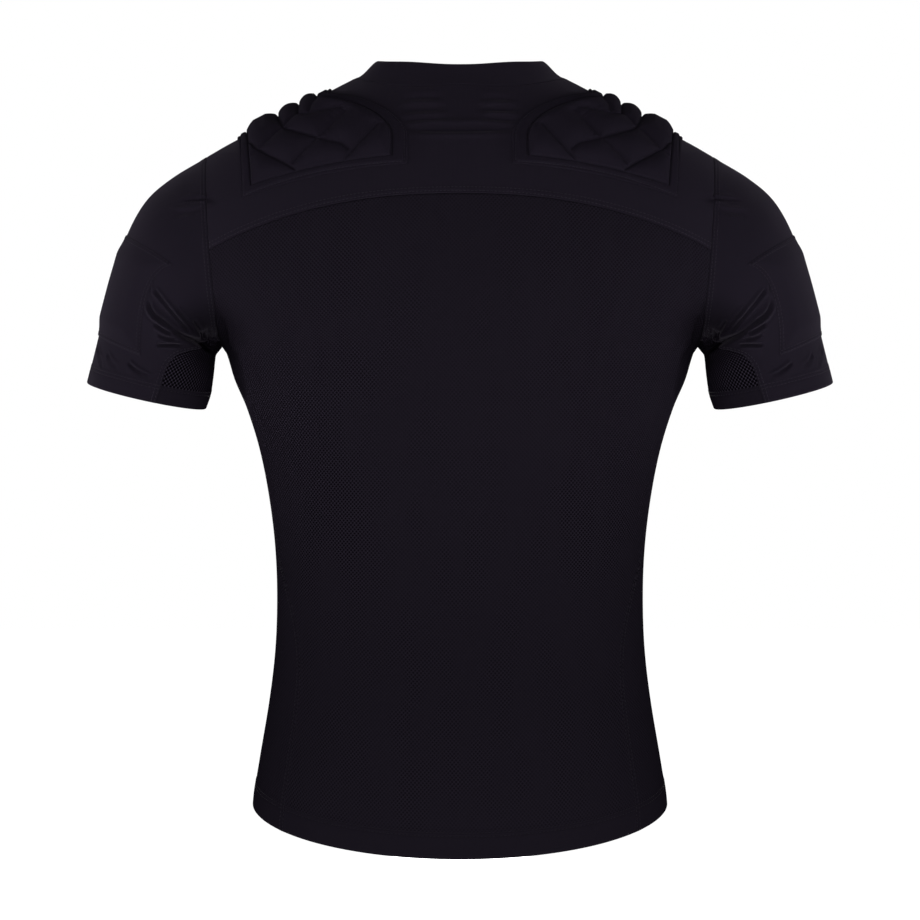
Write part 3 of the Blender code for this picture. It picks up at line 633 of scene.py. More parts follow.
# Depth, width, fade at both ends, then places in the same way
ARMHOLE_FOLDS = [
    (0.0040, 0.0030, (0.30, 0.20), [(0.2115, -0.2080), (0.2088, -0.2220), (0.2080, -0.2350)]),
    (0.0016, 0.0036, (0.30, 0.30), [(0.2050, -0.2060), (0.2030, -0.2200), (0.2030, -0.2330)]),
    (0.0010, 0.0040, (0.30, 0.30), [(0.1960, -0.2100), (0.1950, -0.2240), (0.1960, -0.2360)]),
    (0.0034, 0.0018, (0.02, 0.70), [
        (0.2230, -0.1096), (0.2184, -0.1100), (0.2132, -0.1073), (0.2082, -0.1064),
    ]),
]


def body_folds(points, side):
    rise = np.zeros(points.shape[:-1])
    if side == BACK:
        for depth, width, places in YOKE_FOLDS:
            rise += fold(points, on_body(side, smooth_path(places)), depth, width)
    for depth, width, fade, places in ARMHOLE_FOLDS:
        for way in (-1, 1):
            path = on_body(side, smooth_path([(way * x, height) for x, height in places]))
            rise += fold(points, path, depth, width, fade)
    return rise


print("folds on the back:", len(YOKE_FOLDS) + 2 * len(ARMHOLE_FOLDS))

# %% [markdown]
# Now the three large panels can be laid on their lattices. Each is given its half of the body, the edges
# that carry stitches, and the levels that it climbs through. Rows crowd together on the yoke where the
# armhole's pull crosses it, because a narrow crease needs several rows to look round.

# %% Back panel, back yoke and front panel
LATTICES = {}
even = np.linspace(0.0, 1.0, 41)
fine_top = spread_steps(0.0, 1.0, 26, 0.08, fine_low=False)
fine_bottom = crowded(spread_steps(0.0, 1.0, 26, 0.09, fine_high=False), (0.40, 0.58, 20))


def body_piece(name, side, bands, *stretches):
    points, normals = body_lattice(side, ACROSS[side], climb(*stretches))
    piece, LATTICES[name] = tailored(name, points, normals, bands, body_folds(points, side))
    print(name, "has", len(piece.data.polygons), "faces")


back, front = LEVELS[BACK], LEVELS[FRONT]
hem_top = {side: LEVELS[side]["hem"] + HEM_FOLD for side in (BACK, FRONT)}
body_piece(
    "back_panel", BACK, {"bottom": HEM_ROWS, "left": SIDE_ROWS, "right": SIDE_ROWS},
    (back["hem"], hem_top[BACK], HEM_STEPS), (hem_top[BACK], back["corner"], even),
    (back["corner"], back["yoke"], armhole_steps(CORNER[BACK], back["yoke"][-1], fine_top)),
)
body_piece(
    "back_yoke", BACK, {"bottom": YOKE_ROWS},
    (back["yoke"], back["shoulder"], armhole_steps(back["yoke"][-1], ARMHOLE_TOP[2], fine_bottom)),
    (back["shoulder"], back["neck"], spread_steps(0.0, 1.0, 52, 0.09, fine_low=False)),
)
body_piece(
    "front_panel", FRONT, {"bottom": HEM_ROWS, "left": SIDE_ROWS, "right": SIDE_ROWS},
    (front["hem"], hem_top[FRONT], HEM_STEPS), (hem_top[FRONT], front["corner"], even),
    (front["corner"], front["shoulder"],
     armhole_steps(CORNER[FRONT], ARMHOLE_TOP[2], np.linspace(0.0, 1.0, 31))),
    (front["shoulder"], front["neck"], spread_steps(0.0, 1.0, 26, 0.09, fine_low=False)),
)

# %% [markdown]
# ## Side panels
# Below each underarm a panel runs down the side and widens to the hem. Half of it lies on the back's rings
# and half on the front's, so its lattice takes each column from the half that it is in.

# %% Side panels
def side_lattice(turns, shares_up):
    columns = []
    for turn in turns:
        side = BACK if turn < 0 else FRONT
        angle_at = lambda height: RIGHT_ANGLE - abs(turn) * side_angle(height)
        low = HEM_AT_SIDE - HEM_DROP[side] * max(math.cos(angle_at(HEM_AT_SIDE)), 0.0) ** HEM_POWER
        high = crossing(lambda height: ring(side, height)[2] > angle_at(height), UNDERARM[2], ARMHOLE_MIDDLE)
        fold_top = low + HEM_FOLD
        heights = np.concatenate([low + HEM_FOLD * HEM_STEPS, mix(fold_top, high, shares_up)[1:]])
        angle = angle_at(heights)
        columns.append((body_point(side, angle, heights), body_normal(side, angle, heights)))
    return [np.stack(part, axis=1) for part in zip(*columns)]


points, normals = side_lattice(
    spread_steps(-1.0, 1.0, 22, 0.12), spread_steps(0.0, 1.0, 70, 0.38, fine_low=False)
)
piece, LATTICES["side_panel_right"] = tailored(
    "side_panel_right", points, normals, {"bottom": HEM_ROWS, "left": SIDE_ROWS, "right": SIDE_ROWS}
)
mirrored(piece, "side_panel_left")
print("side panel is", round(float(lengths(points, 1)[0, -1]), 3), "m wide at the hem")

# %% [markdown]
# ## Collar
# A narrow band of doubled knit stands round the neck and leans in, most at the sides of the neck. Its lower
# edge runs along the collar seam of the panels, and its upper edge is a fold. The collar leaves its seam
# slowly at the sides, and at the back it rises in a low crown on each side of the middle.

# %% Collar
COLLAR_LEAN = {"side": 0.0216, BACK: 0.0110, FRONT: 0.0090}
COLLAR_RISE = {"side": 0.0150, BACK: 0.0190, FRONT: 0.0210}
COLLAR_SWELL, COLLAR_CROWN = 0.0016, {BACK: 0.0032, FRONT: 0.0}
COLLAR_BOW, SEAM_GAP = -0.0008, 0.0003


def collar_half(side, across, v):
    """Points of the collar over the back or front of the neck, v up from its seam."""
    height = neck_level(side, across)
    base = body_point(side, across * edge_angle(side, height), height)
    power, depth = NECK_POWER[side], NECK_DEPTH[side]
    aside = np.sign(base[:, 0]) * (np.abs(base[:, 0]) / NECK_HALF_WIDTH) ** (power - 1) / NECK_HALF_WIDTH
    forth = side * (np.abs(base[:, 1]) / depth) ** (power - 1) / depth
    outward = unit(np.stack([aside, forth, np.zeros_like(aside)], axis=-1))
    middle = np.minimum(np.abs(base[:, 1]) / depth, 1.0) ** 2
    lean = mix(COLLAR_LEAN["side"], COLLAR_LEAN[side], middle)
    rise = mix(COLLAR_RISE["side"], COLLAR_RISE[side], middle) + COLLAR_SWELL * 4 * middle * (1 - middle)
    rise += COLLAR_CROWN[side] * np.sin(np.pi * np.minimum(np.abs(base[:, 0]) / NECK_HALF_WIDTH, 1.0)) ** 2
    out = COLLAR_BOW * np.sin(np.pi * v) - lean * v
    up = np.zeros((*out.shape, 3))
    up[..., 2] = SEAM_GAP / 2 + rise * mix(ease(v), v, middle)
    return base + outward * out[..., None] + up


across = np.linspace(-1.0, 1.0, 81)
v = spread_steps(0.0, 1.0, 8, 0.024)[:, None]
points = np.concatenate([collar_half(BACK, across, v), collar_half(FRONT, across[::-1], v)[:, 1:]], axis=1)
round_it = np.roll(points, -1, axis=1) - np.roll(points, 1, axis=1)
round_it[:, [0, -1]] = points[:, [1]] - points[:, [-2]]
normals = unit(np.cross(round_it, np.gradient(points, axis=0)))
piece, LATTICES["collar"] = tailored("collar", points, normals, closed=True)
print("collar is", round(float(lengths(points, 1)[0, -1]), 3), "m round")

# %% [markdown]
# ## Sleeves and underarm mesh
# A sleeve is a stack of slanting ovals from the armhole to the cuff. Its outer line is four times as long
# as the line under the arm, so the rows are spaced along each column by its own length, and the cuff's hem
# keeps one width all the way round. The mesh under the arm is the part of the same ovals that the sleeve
# leaves out.

# %% The sleeve's form
# Place along, outer x and z, inner x and z, half depth, and the drop of the back
SLEEVE = [
    (0.00, 0.2268, -0.0660, 0.2142, -0.2367, 0.0760, 0.0),
    (0.14, 0.2584, -0.0850, 0.2172, -0.2405, 0.0770, 0.0),
    (0.28, 0.2814, -0.1050, 0.2198, -0.2440, 0.0760, 0.0003),
    (0.43, 0.2984, -0.1345, 0.2206, -0.2490, 0.0725, 0.0008),
    (0.57, 0.3097, -0.1692, 0.2213, -0.2570, 0.0675, 0.0016),
    (0.71, 0.3186, -0.2016, 0.2222, -0.2655, 0.0625, 0.0026),
    (0.86, 0.3268, -0.2349, 0.2243, -0.2785, 0.0592, 0.0038),
    (1.00, 0.3352, -0.2685, 0.2290, -0.2925, 0.0570, 0.0050),
]
# Place along, and the angle where the mesh under the arm begins
GUSSET = [
    (0.00, 160.0), (0.30, 151.0), (0.47, 140.0), (0.59, 126.0), (0.70, 113.0), (0.80, 106.5), (1.00, 104.0),
]
sleeve_lines = [through(SLEEVE, column) for column in range(1, 7)]
gusset_line = through(GUSSET, 1)


def sleeve_point(angle, along):
    """Points of the right sleeve by angle from its outer line, positive to the back, and place along."""
    outer_x, outer_z, inner_x, inner_z, half_depth, drop = (line(along) for line in sleeve_lines)
    reach = np.cos(angle)
    x = (outer_x + inner_x) / 2 + (outer_x - inner_x) / 2 * reach
    z = (outer_z + inner_z) / 2 + (outer_z - inner_z) / 2 * reach - drop * np.sin(angle)
    return np.stack(np.broadcast_arrays(x, -half_depth * np.sin(angle), z), axis=-1)


def sleeve_normal(angle, along):
    low, high = np.maximum(along - NUDGE, 0.0), np.minimum(along + NUDGE, 1.0)
    round_it = sleeve_point(angle - NUDGE, along) - sleeve_point(angle + NUDGE, along)
    return unit(np.cross(round_it, sleeve_point(angle, low) - sleeve_point(angle, high)))


def gusset_angle(along):
    return np.radians(gusset_line(along))


outer_line = sleeve_point(0.0, np.linspace(0.0, 1.0, 200))
print("sleeve's outer line:", round(float(lengths(outer_line, 0)[-1]), 3), "m")

# %% [markdown]
# The arm hangs a little away from the body, so cloth is spare under it. The creases start at the underarm
# and fan out over the sleeve, deepest near their root, and a few short ones cross the cuff where the foam
# on the arm ends. Each is listed; the front gets a similar set that isn't a mirror copy.

# %% Creases of the sleeve
# Depth, or less than 0 for a ridge, width, fade at both ends, then places by angle in degrees and place along
SLEEVE_CREASES = [
    (0.0030, 0.0017, (0.10, 0.05), [
        (76.8, 0.517), (77.5, 0.542), (80.5, 0.560), (85.8, 0.568), (94.8, 0.557), (106.0, 0.546),
        (117.5, 0.519), (127.0, 0.479), (137.8, 0.424), (154.0, 0.323), (163.0, 0.250),
    ]),
    (0.0034, 0.0028, (0.40, 0.05), [
        (106.0, 0.546), (117.5, 0.519), (127.0, 0.479), (137.8, 0.424), (154.0, 0.323), (163.0, 0.250),
    ]),
    (-0.0012, 0.0018, (0.25, 0.30), [
        (74.8, 0.566), (80.2, 0.580), (87.8, 0.586), (98.5, 0.570), (110.0, 0.550),
    ]),
    (0.0024, 0.0015, (0.08, 0.20), [
        (78.8, 0.469), (84.0, 0.468), (91.5, 0.468), (100.0, 0.463), (107.5, 0.458), (117.8, 0.448),
        (125.2, 0.445),
    ]),
    (-0.0010, 0.0016, (0.30, 0.30), [
        (85.0, 0.460), (94.0, 0.455), (104.5, 0.442), (114.2, 0.426), (135.2, 0.391),
    ]),
    (0.0022, 0.0014, (0.20, 0.25), [
        (100.8, 0.429), (109.5, 0.417), (117.3, 0.405), (124.0, 0.396), (129.8, 0.376),
    ]),
    (0.0025, 0.0018, (0.20, 0.20), [(122.2, 0.321), (128.0, 0.302), (134.5, 0.291), (139.3, 0.301)]),
    (0.0022, 0.0016, (0.15, 0.20), [(86.5, 0.609), (94.2, 0.599), (102.8, 0.581), (106.8, 0.573)]),
    (0.0017, 0.0014, (0.20, 0.20), [(91.8, 0.646), (96.8, 0.638), (102.8, 0.621), (110.5, 0.590)]),
    (0.0026, 0.0013, (0.15, 0.18), [(92.5, 0.709), (101.0, 0.672), (110.8, 0.626), (118.0, 0.589)]),
    (0.0020, 0.0060, (0.35, 0.25), [
        (79.5, 0.510), (91.5, 0.511), (103.2, 0.503), (114.8, 0.489), (124.5, 0.465),
    ]),
    (0.0085, 0.0054, (0.35, 0.10), [(134.0, 0.338), (142.5, 0.271), (149.5, 0.204), (157.5, 0.156)]),
    (0.0036, 0.0012, (0.30, 0.10), [(142.0, 0.095), (147.5, 0.116), (153.2, 0.151)]),
    (0.0036, 0.0012, (0.30, 0.10), [(139.5, 0.176), (144.2, 0.212), (149.8, 0.251)]),
    (0.0030, 0.0011, (0.30, 0.15), [(137.5, 0.264), (141.0, 0.288), (145.2, 0.304)]),
    (0.0018, 0.0014, (0.20, 0.25), [(68.2, 0.454), (71.8, 0.461), (74.5, 0.478), (76.0, 0.500)]),
    (0.0036, 0.0014, (0.55, 0.02), [(48.2, 0.133), (51.8, 0.095), (54.5, 0.062), (58.0, 0.024), (60.0, 0.0)]),
    (-0.0010, 0.0018, (0.40, 0.20), [
        (47.8, 0.179), (54.2, 0.131), (58.2, 0.092), (61.8, 0.030), (63.0, 0.0),
    ]),
    (0.0013, 0.0024, (0.40, 0.40), [(56.2, 0.182), (58.5, 0.146), (61.8, 0.088), (66.8, 0.033)]),
    (-0.0008, 0.0016, (0.40, 0.30), [(47.8, 0.096), (50.3, 0.061), (54.5, 0.022), (56.0, 0.0)]),
    (0.0020, 0.0015, (0.20, 0.25), [(17, 0.850), (30, 0.886), (42, 0.921)]),
    (0.0018, 0.0015, (0.20, 0.25), [(42, 0.858), (50.5, 0.883), (62, 0.899)]),
    (0.0024, 0.0014, (0.18, 0.25), [(68.5, 0.856), (77.0, 0.871), (85.5, 0.879), (95.0, 0.885)]),
    (0.0026, 0.0022, (0.25, 0.05), [(-84, 0.50), (-98, 0.540), (-120, 0.500), (-138, 0.420), (-157, 0.27)]),
    (0.0020, 0.0019, (0.30, 0.20), [(-88, 0.420), (-106, 0.405), (-128, 0.370)]),
    (0.0016, 0.0017, (0.30, 0.30), [(-92, 0.640), (-104, 0.610), (-118, 0.560)]),
    (0.0014, 0.0022, (0.30, 0.30), [(-44, 0.140), (-52, 0.070), (-59, 0.000)]),
    (0.0014, 0.0017, (0.35, 0.35), [(-34, 0.862), (-48, 0.890), (-60, 0.905)]),
    (0.0016, 0.0017, (0.35, 0.35), [(-66, 0.855), (-80, 0.875), (-95, 0.895)]),
]


def sleeve_creases(points):
    rise = np.zeros(points.shape[:-1])
    for depth, width, fade, places in SLEEVE_CREASES:
        angle, along = smooth_path(places).T
        rise += fold(points, sleeve_point(np.radians(angle), along), depth, width, fade)
    return rise


print("creases on a sleeve:", len(SLEEVE_CREASES))

# %% [markdown]
# On the real top the sleeve's edge is sewn over the mesh. Here too the mesh reaches a little way under the
# sleeve and sinks as it goes, because two edges that only meet would let light through. Columns and rows
# are closest where the creases are, and wide on the plain outer side.

# %% Sleeve and gusset
CUFF_FOLD = 0.0230
CUFF_ROWS = (0.0132, 0.0162)
CUFF_STEPS = np.array((
    0.0, 0.0004, 0.0010, 0.0018, 0.0040, 0.0080, 0.0112, 0.0120, 0.0126, 0.0132, 0.0138, 0.0144, 0.0150,
    0.0156, 0.0162, 0.0168, 0.0174, 0.0182, 0.0200, 0.0230,
))
GUSSET_ROWS = (0.0015, 0.0045)
# How far the mesh reaches under the sleeve's edge, as an angle, how deep it lies there, and over what width
LAP_ANGLE, LAP_DEPTH, LAP_WIDTH = 0.042, 0.0018, 0.0065


def sleeve_lattice(angle_of, columns, rows):
    """Points and normals with rows at even lengths from the cuff, and columns by their share across."""
    fine = np.linspace(1.0, 0.0, 301)[:, None]
    run = lengths(sleeve_point(angle_of(columns, fine), fine), 0)
    along = np.empty((len(CUFF_STEPS) + len(rows) - 1, len(columns)))
    for j in range(len(columns)):
        targets = np.concatenate([CUFF_STEPS, mix(CUFF_FOLD, run[-1, j], rows)[1:]])
        along[:, j] = np.interp(targets, run[:, j], fine[:, 0])
    along[-1] = 0.0
    angle = angle_of(columns, along)
    return sleeve_point(angle, along), sleeve_normal(angle, along)


def sleeve_piece(name, angle_of, columns, rows, bands, lap=0.0):
    points, normals = sleeve_lattice(angle_of, columns, rows)
    distances = edge_distances(points)
    sunk = lap * ease(1 - np.minimum(distances["left"], distances["right"]) / LAP_WIDTH)
    relief = sleeve_creases(points) - sunk
    right = name + "_right"
    piece, LATTICES[right] = tailored(right, points, normals, bands, relief, allowance=True)
    mirrored(piece, name + "_left")
    print(name, "has", len(piece.data.polygons), "faces")


round_sleeve = crowded(
    spread_steps(0.0, 1.0, 90, 0.34), (0.03, 0.27, 86), (0.285, 0.36, 40), (0.76, 0.97, 34)
)
up_sleeve = crowded(
    spread_steps(0.0, 1.0, 60, 0.20, fine_low=False), (0.04, 0.18, 20), (0.22, 0.70, 74), (0.70, 0.90, 22)
)
sleeve_piece(
    "sleeve", lambda u, along: gusset_angle(along) * (1 - 2 * u), round_sleeve, up_sleeve,
    {"bottom": CUFF_ROWS, "top": ARMHOLE_ROWS, "left": GUSSET_ROWS, "right": GUSSET_ROWS},
)
sleeve_piece(
    "underarm_gusset",
    lambda u, along: mix(math.tau - gusset_angle(along) + LAP_ANGLE, gusset_angle(along) - LAP_ANGLE, u),
    spread_steps(0.0, 1.0, 30, 0.10), spread_steps(0.0, 1.0, 44, 0.20, fine_low=False), {"bottom": CUFF_ROWS},
    LAP_DEPTH,
)

# %% [markdown]
# ## Foam on the upper arms
# A thin sheet of foam lies under a curved patch on the outside of each arm. It is a padded piece, but so
# thin and evenly filled that it needs no simulation: its top follows the sleeve's form without the creases,
# and falls away to a sewn edge with two rows of stitches.

# %% Bicep pads
BICEP_HALF_ANGLE, BICEP_WAIST, BICEP_EDGE_POWER = {"top": 86.0, "bottom": 81.0}, 9.0, 2.4
BICEP_TOP, BICEP_TOP_DROP, BICEP_BOTTOM, BICEP_BOTTOM_DROP = 0.435, 0.180, 0.824, 0.020
# Height and width of the sewn rim, then the rise of the foam, from where it begins over its slope
BICEP_RIM, BICEP_RIM_WIDTH, BICEP_RISE, BICEP_FOAM, BICEP_SLOPE = 0.0012, 0.0020, 0.0023, 0.0045, 0.0150
BICEP_ROWS, BICEP_UNDER = (0.0014, 0.0044), 0.0002


def bicep_lattice(u, v):
    turn = 1 - 2 * u
    drop = np.abs(turn) ** BICEP_EDGE_POWER
    top, bottom = BICEP_TOP - BICEP_TOP_DROP * drop, BICEP_BOTTOM - BICEP_BOTTOM_DROP * drop
    half_angle = mix(BICEP_HALF_ANGLE["bottom"], BICEP_HALF_ANGLE["top"], v) - BICEP_WAIST * np.sin(np.pi * v)
    angle, along = np.radians(half_angle) * turn, mix(bottom, top, v)
    return sleeve_point(angle, along), sleeve_normal(angle, along)


u, v = spread_steps(0.0, 1.0, 70, 0.17), spread_steps(0.0, 1.0, 44, 0.10)
points, normals = bicep_lattice(u[None, :], v[:, None])
distances = edge_distances(points)
to_edge = np.min(list(distances.values()), axis=0)
raised = BICEP_RIM * ease(to_edge / BICEP_RIM_WIDTH) + BICEP_RISE * ease((to_edge - BICEP_FOAM) / BICEP_SLOPE)
for row in BICEP_ROWS:
    raised -= STITCH_PULL * np.exp(-(((to_edge - row) / STITCH_WIDTH) ** 2))
outer = points + normals * raised[..., None]
piece = lay_cloth("bicep_pad_right", outer, points - normals * BICEP_UNDER)
LATTICES["bicep_pad_right"] = {"outer": outer, "normals": normals, "distances": distances}
mirrored(piece, "bicep_pad_left")
print("bicep pad is", round(float(lengths(points, 1)[len(v) // 2, -1]), 3), "m round the arm")

# %% [markdown]
# ## Quilted shoulder pads
# Each pad lies over the shoulder from the back to the front, so its lattice is cast from inside the
# shoulder: at each distance from the centre line, a line swings from the back over the top to the front and
# meets the form. The quilting lines are cast in the same way.

# %% The pads' form
PAD_BOTTOM, PAD_BOTTOM_DROP, PAD_BOTTOM_POWER = {BACK: -0.0795, FRONT: -0.0690}, 0.0305, 2.2
PAD_INNER, PAD_OUTER, PAD_INNER_TURN = (0.1150, 0.0455), (0.1998, 0.1908), np.radians((20, 75))
PAD_REACH = 0.2


def over_shoulder(side, x, swing):
    """Points and normals where lines from inside the shoulder come out, on the back or the front."""
    start = PAD_BOTTOM[side] - PAD_BOTTOM_DROP * (x / PAD_OUTER[1]) ** PAD_BOTTOM_POWER
    outward, upward = np.sin(np.abs(swing)), np.cos(swing)

    def inside(reach):
        height = start + reach * upward
        half_width, _, _ = ring(side, height)
        angle = np.arcsin(np.clip(x / half_width, 0.0, 1.0))
        return (x < half_width) & (reach * outward < np.abs(body_point(side, angle, height)[..., 1]))

    height = start + crossing(inside, np.zeros_like(x), np.full_like(x, PAD_REACH)) * upward
    angle = np.arcsin(np.clip(x / ring(side, height)[0], 0.0, 1.0))
    return body_point(side, angle, height), body_normal(side, angle, height)


def cast(x, swing):
    """Points and normals over the shoulder, each from the back or the front by the sign of its swing."""
    x, swing = np.broadcast_arrays(x, swing)
    behind = (swing >= 0)[..., None]
    back_side, front_side = over_shoulder(BACK, x, swing), over_shoulder(FRONT, x, swing)
    return [np.where(behind, b, f) for b, f in zip(back_side, front_side)]


def pad_form(p, q):
    """Points and normals of a pad, p across from the neck and q from back to front."""
    swing = RIGHT_ANGLE * (1 - 2 * q)
    start, end = PAD_INNER_TURN
    inner = mix(*PAD_INNER, ease((np.abs(swing) - start) / (end - start)))
    outer = mix(*PAD_OUTER, np.abs(swing) / RIGHT_ANGLE)
    return cast(mix(inner, outer, p), swing)


middle_line, _ = pad_form(0.5, np.linspace(0, 1, 61))
print("pad is", round(float(lengths(middle_line, 0)[-1]), 3), "m long over the shoulder")

# %% [markdown]
# The border has its own width along each edge, but the lattice is only in shares. So the pad is measured
# once, in metres, across and at its ends. Places inside the border are then found from those measures.

# %% Room inside the border
BORDER_WIDTH = {"inner": 0.0135, "outer": 0.0095, "end": 0.0078}
MEASURED_AT, MEASURE_STEPS, END_REACH = np.linspace(0, 1, 81), 25, 0.1


def pad_width(q):
    """The pad's width in metres at each q."""
    points, _ = pad_form(np.linspace(0, 1, MEASURE_STEPS)[None, :], q[:, None])
    return lengths(points, 1)[:, -1]


def pad_end(p):
    """Metres to a whole step of q at each p, as it is at the pad's end."""
    points, _ = pad_form(p[None, :], np.linspace(0, END_REACH, MEASURE_STEPS)[:, None])
    return lengths(points, 0)[-1] / END_REACH


WIDTH_AT, END_AT = (
    through(np.column_stack([MEASURED_AT, measure(MEASURED_AT)]), 1) for measure in (pad_width, pad_end)
)


def within_border(p, q, share):
    """Places on the pad, by their shares of what is left inside a share of the border's width."""
    inner, outer = (BORDER_WIDTH[edge] * share / WIDTH_AT(q) for edge in ("inner", "outer"))
    ends = BORDER_WIDTH["end"] * share / END_AT(p)
    return mix(inner, 1 - outer, p), mix(ends, 1 - ends, q)


print("pad is", np.round(WIDTH_AT([0.05, 0.5]), 3), "m wide at the back and on top")

# %% [markdown]
# The foam is pressed into cushions along the quilting lines. On top of the shoulder three deep channels run
# from back to front, so the outline is scalloped there. Below them the lines cross in diamonds, some deep
# and some faint. A line is a row of places on the form, each by its distance from the centre line and its
# swing.

# %% Quilting lines
# Depth share, then places by distance from the centre line and swing in degrees
QUILT_LINES = [
    (1.40, (0.1432, -32), (0.1432, 0), (0.1425, 39)), (1.40, (0.1625, -32), (0.1625, 0), (0.1608, 33)),
    (1.30, (0.1260, -32), (0.1260, 0), (0.1260, 29)), (0.55, (0.1260, 29), (0.1295, 34), (0.1318, 43)),
    (0.85, (0.1425, 39), (0.1485, 43), (0.1552, 49), (0.1630, 54), (0.1715, 59), (0.1785, 62), (0.1845, 65)),
    (1.00, (0.1608, 33), (0.1552, 48), (0.1505, 54), (0.1388, 61), (0.1263, 67)),
    (0.80, (0.1263, 67), (0.1162, 71), (0.1030, 75), (0.0968, 79)),
    (0.90, (0.1425, 39), (0.1378, 43), (0.1308, 45), (0.1217, 46), (0.1127, 47), (0.1048, 48)),
    (0.75, (0.0993, 53), (0.1088, 59), (0.1175, 65), (0.1295, 71), (0.1373, 75), (0.1450, 80)),
    (0.90, (0.0718, 67), (0.0820, 74), (0.0907, 79), (0.1003, 85)),
    (1.10, (0.1860, 47), (0.1795, 58), (0.1668, 69), (0.1547, 77), (0.1433, 84)),
    (0.85, (0.1432, -32), (0.1650, -50), (0.1860, -64)), (0.95, (0.1625, -32), (0.1400, -52), (0.1050, -68)),
    (0.80, (0.1260, -32), (0.1180, -42), (0.1040, -47)), (0.75, (0.1025, -50), (0.1250, -66), (0.1460, -82)),
    (0.90, (0.0750, -64), (0.0900, -76), (0.1010, -86)), (1.00, (0.1850, -48), (0.1680, -68), (0.1420, -86)),
]
CUSHION_ROUND, PAD_EDGE_ROUND, CUSHION_POWER = 0.0085, 0.0075, 2.2
GROOVE_LEFT, LEAST_LEFT = 0.32, 0.04
EDGE_LEFT = {"left": 0.10, "right": 0.14, "bottom": 0.42, "top": 0.42}
EDGE_SLOT = {"left": 0.0012, "right": 0.0006, "bottom": 0.0, "top": 0.0}
PAD_COLUMNS, PAD_ROWS = 153, 221
CHANNEL_WIDTH, CHANNEL_DEPTH = 0.0011, 0.0018


def quilt_path(line):
    places = np.array(line[1:])
    steps = np.linspace(0, len(places) - 1, 8 * len(places))
    x, swing = (np.interp(steps, range(len(places)), column) for column in places.T)
    return cast(x, np.radians(swing))[0]


def rounded(distance, reach):
    """A cushion's rise beside a seam: steep at first, level at its reach."""
    share = np.clip(1 - distance / reach, 0.0, 1.0)
    return np.sqrt(1 - share**CUSHION_POWER)


u, v = np.linspace(0, 1, PAD_COLUMNS)[None, :], np.linspace(0, 1, PAD_ROWS)[:, None]
pad_points, pad_normals = pad_form(*within_border(*np.broadcast_arrays(u, v), 1.0))
pad_distances = edge_distances(pad_points)
cushion = np.min([
    mix(left, 1.0, rounded(np.maximum(pad_distances[edge] - EDGE_SLOT[edge], 0.0), PAD_EDGE_ROUND))
    for edge, left in EDGE_LEFT.items()
], axis=0)
to_line, channel = np.full(pad_points.shape[:2], np.inf), np.zeros(pad_points.shape[:2])
for line in QUILT_LINES:
    away, _ = nearest(pad_points, quilt_path(line))
    to_line = np.minimum(to_line, away)
    channel = np.maximum(channel, min(line[0], 1.0) * np.exp(-((away / CHANNEL_WIDTH) ** 2)))
    sunk = 1 - max(1 - line[0] * (1 - GROOVE_LEFT), LEAST_LEFT)
    cushion = np.minimum(cushion, 1 - sunk * (1 - rounded(away, CUSHION_ROUND)))
print("quilting lines:", len(QUILT_LINES), "thinnest share", round(float(cushion.min()), 2))

# %% [markdown]
# Foam that is sewn down along lines swells between them. Blender's cloth finds that shape: the cover starts
# a little low, is pinned along the lines and the edges, and a pressure pushes it out. Cloth is tuned for
# things of a few metres, so the cover is simulated at twenty times its size. How far it may swell is
# capped. The narrow channels that the needle leaves come last, because the simulated grid is too wide for
# them.

# %% Swell the pads
PAD_THICKNESS, PAD_LIFT, LEAST_PAD = 0.0068, 0.0005, 0.0004
PAD_START, PAD_CAP, PAD_SINK = 0.60, 0.0045, 0.0004
PIN_REACH, SIM_SCALE, SIM_FRAMES, SIM_PRESSURE = 0.0011, 20.0, 20, 40.0


def swollen(points, normals, height, held):
    """How far each point of a pinned cover rises under pressure."""
    rows, columns = points.shape[:2]
    mesh, row, column = as_mesh("pad_cover_trial", flat_cloth(rows, columns), rows, columns)
    start = (points + normals * height[..., None])[row, column]
    mesh.vertices.foreach_set("co", (start * SIM_SCALE).astype(np.float32).ravel())
    cover = bpy.data.objects.new("pad_cover_trial", mesh)
    bpy.context.scene.collection.objects.link(cover)
    cover.vertex_groups.new(name="sewn").add(np.flatnonzero(held[row, column]).tolist(), 1.0, "REPLACE")
    cloth = cover.modifiers.new("swell", "CLOTH")
    cloth.collision_settings.use_collision = False
    cloth.settings.vertex_group_mass = "sewn"
    cloth.settings.quality = 6
    cloth.settings.mass = 0.05
    cloth.settings.bending_stiffness = 0.5
    cloth.settings.shrink_min = -0.03
    cloth.settings.use_pressure = True
    cloth.settings.uniform_pressure_force = SIM_PRESSURE
    cloth.settings.effector_weights.gravity = 0.0
    for moment in range(1, SIM_FRAMES + 1):
        bpy.context.scene.frame_set(moment)
    after = np.empty(len(start) * 3, np.float32)
    cover.evaluated_get(bpy.context.evaluated_depsgraph_get()).data.vertices.foreach_get("co", after)
    moved = np.empty((rows, columns, 3))
    moved[row, column] = after.reshape(-1, 3) / SIM_SCALE - start
    bpy.data.objects.remove(cover)
    bpy.data.meshes.remove(mesh)
    bpy.context.scene.frame_set(1)
    return (moved * normals).sum(axis=-1)


def doubled(field, axis):
    """A field with a step added between each two along an axis."""
    field = np.moveaxis(field, axis, 0)
    made = np.empty((2 * len(field) - 1, *field.shape[1:]))
    made[::2], made[1::2] = field, (field[1:] + field[:-1]) / 2
    made[1:-1] = (made[:-2] + 2 * made[1:-1] + made[2:]) / 4
    return np.moveaxis(made, 0, axis)


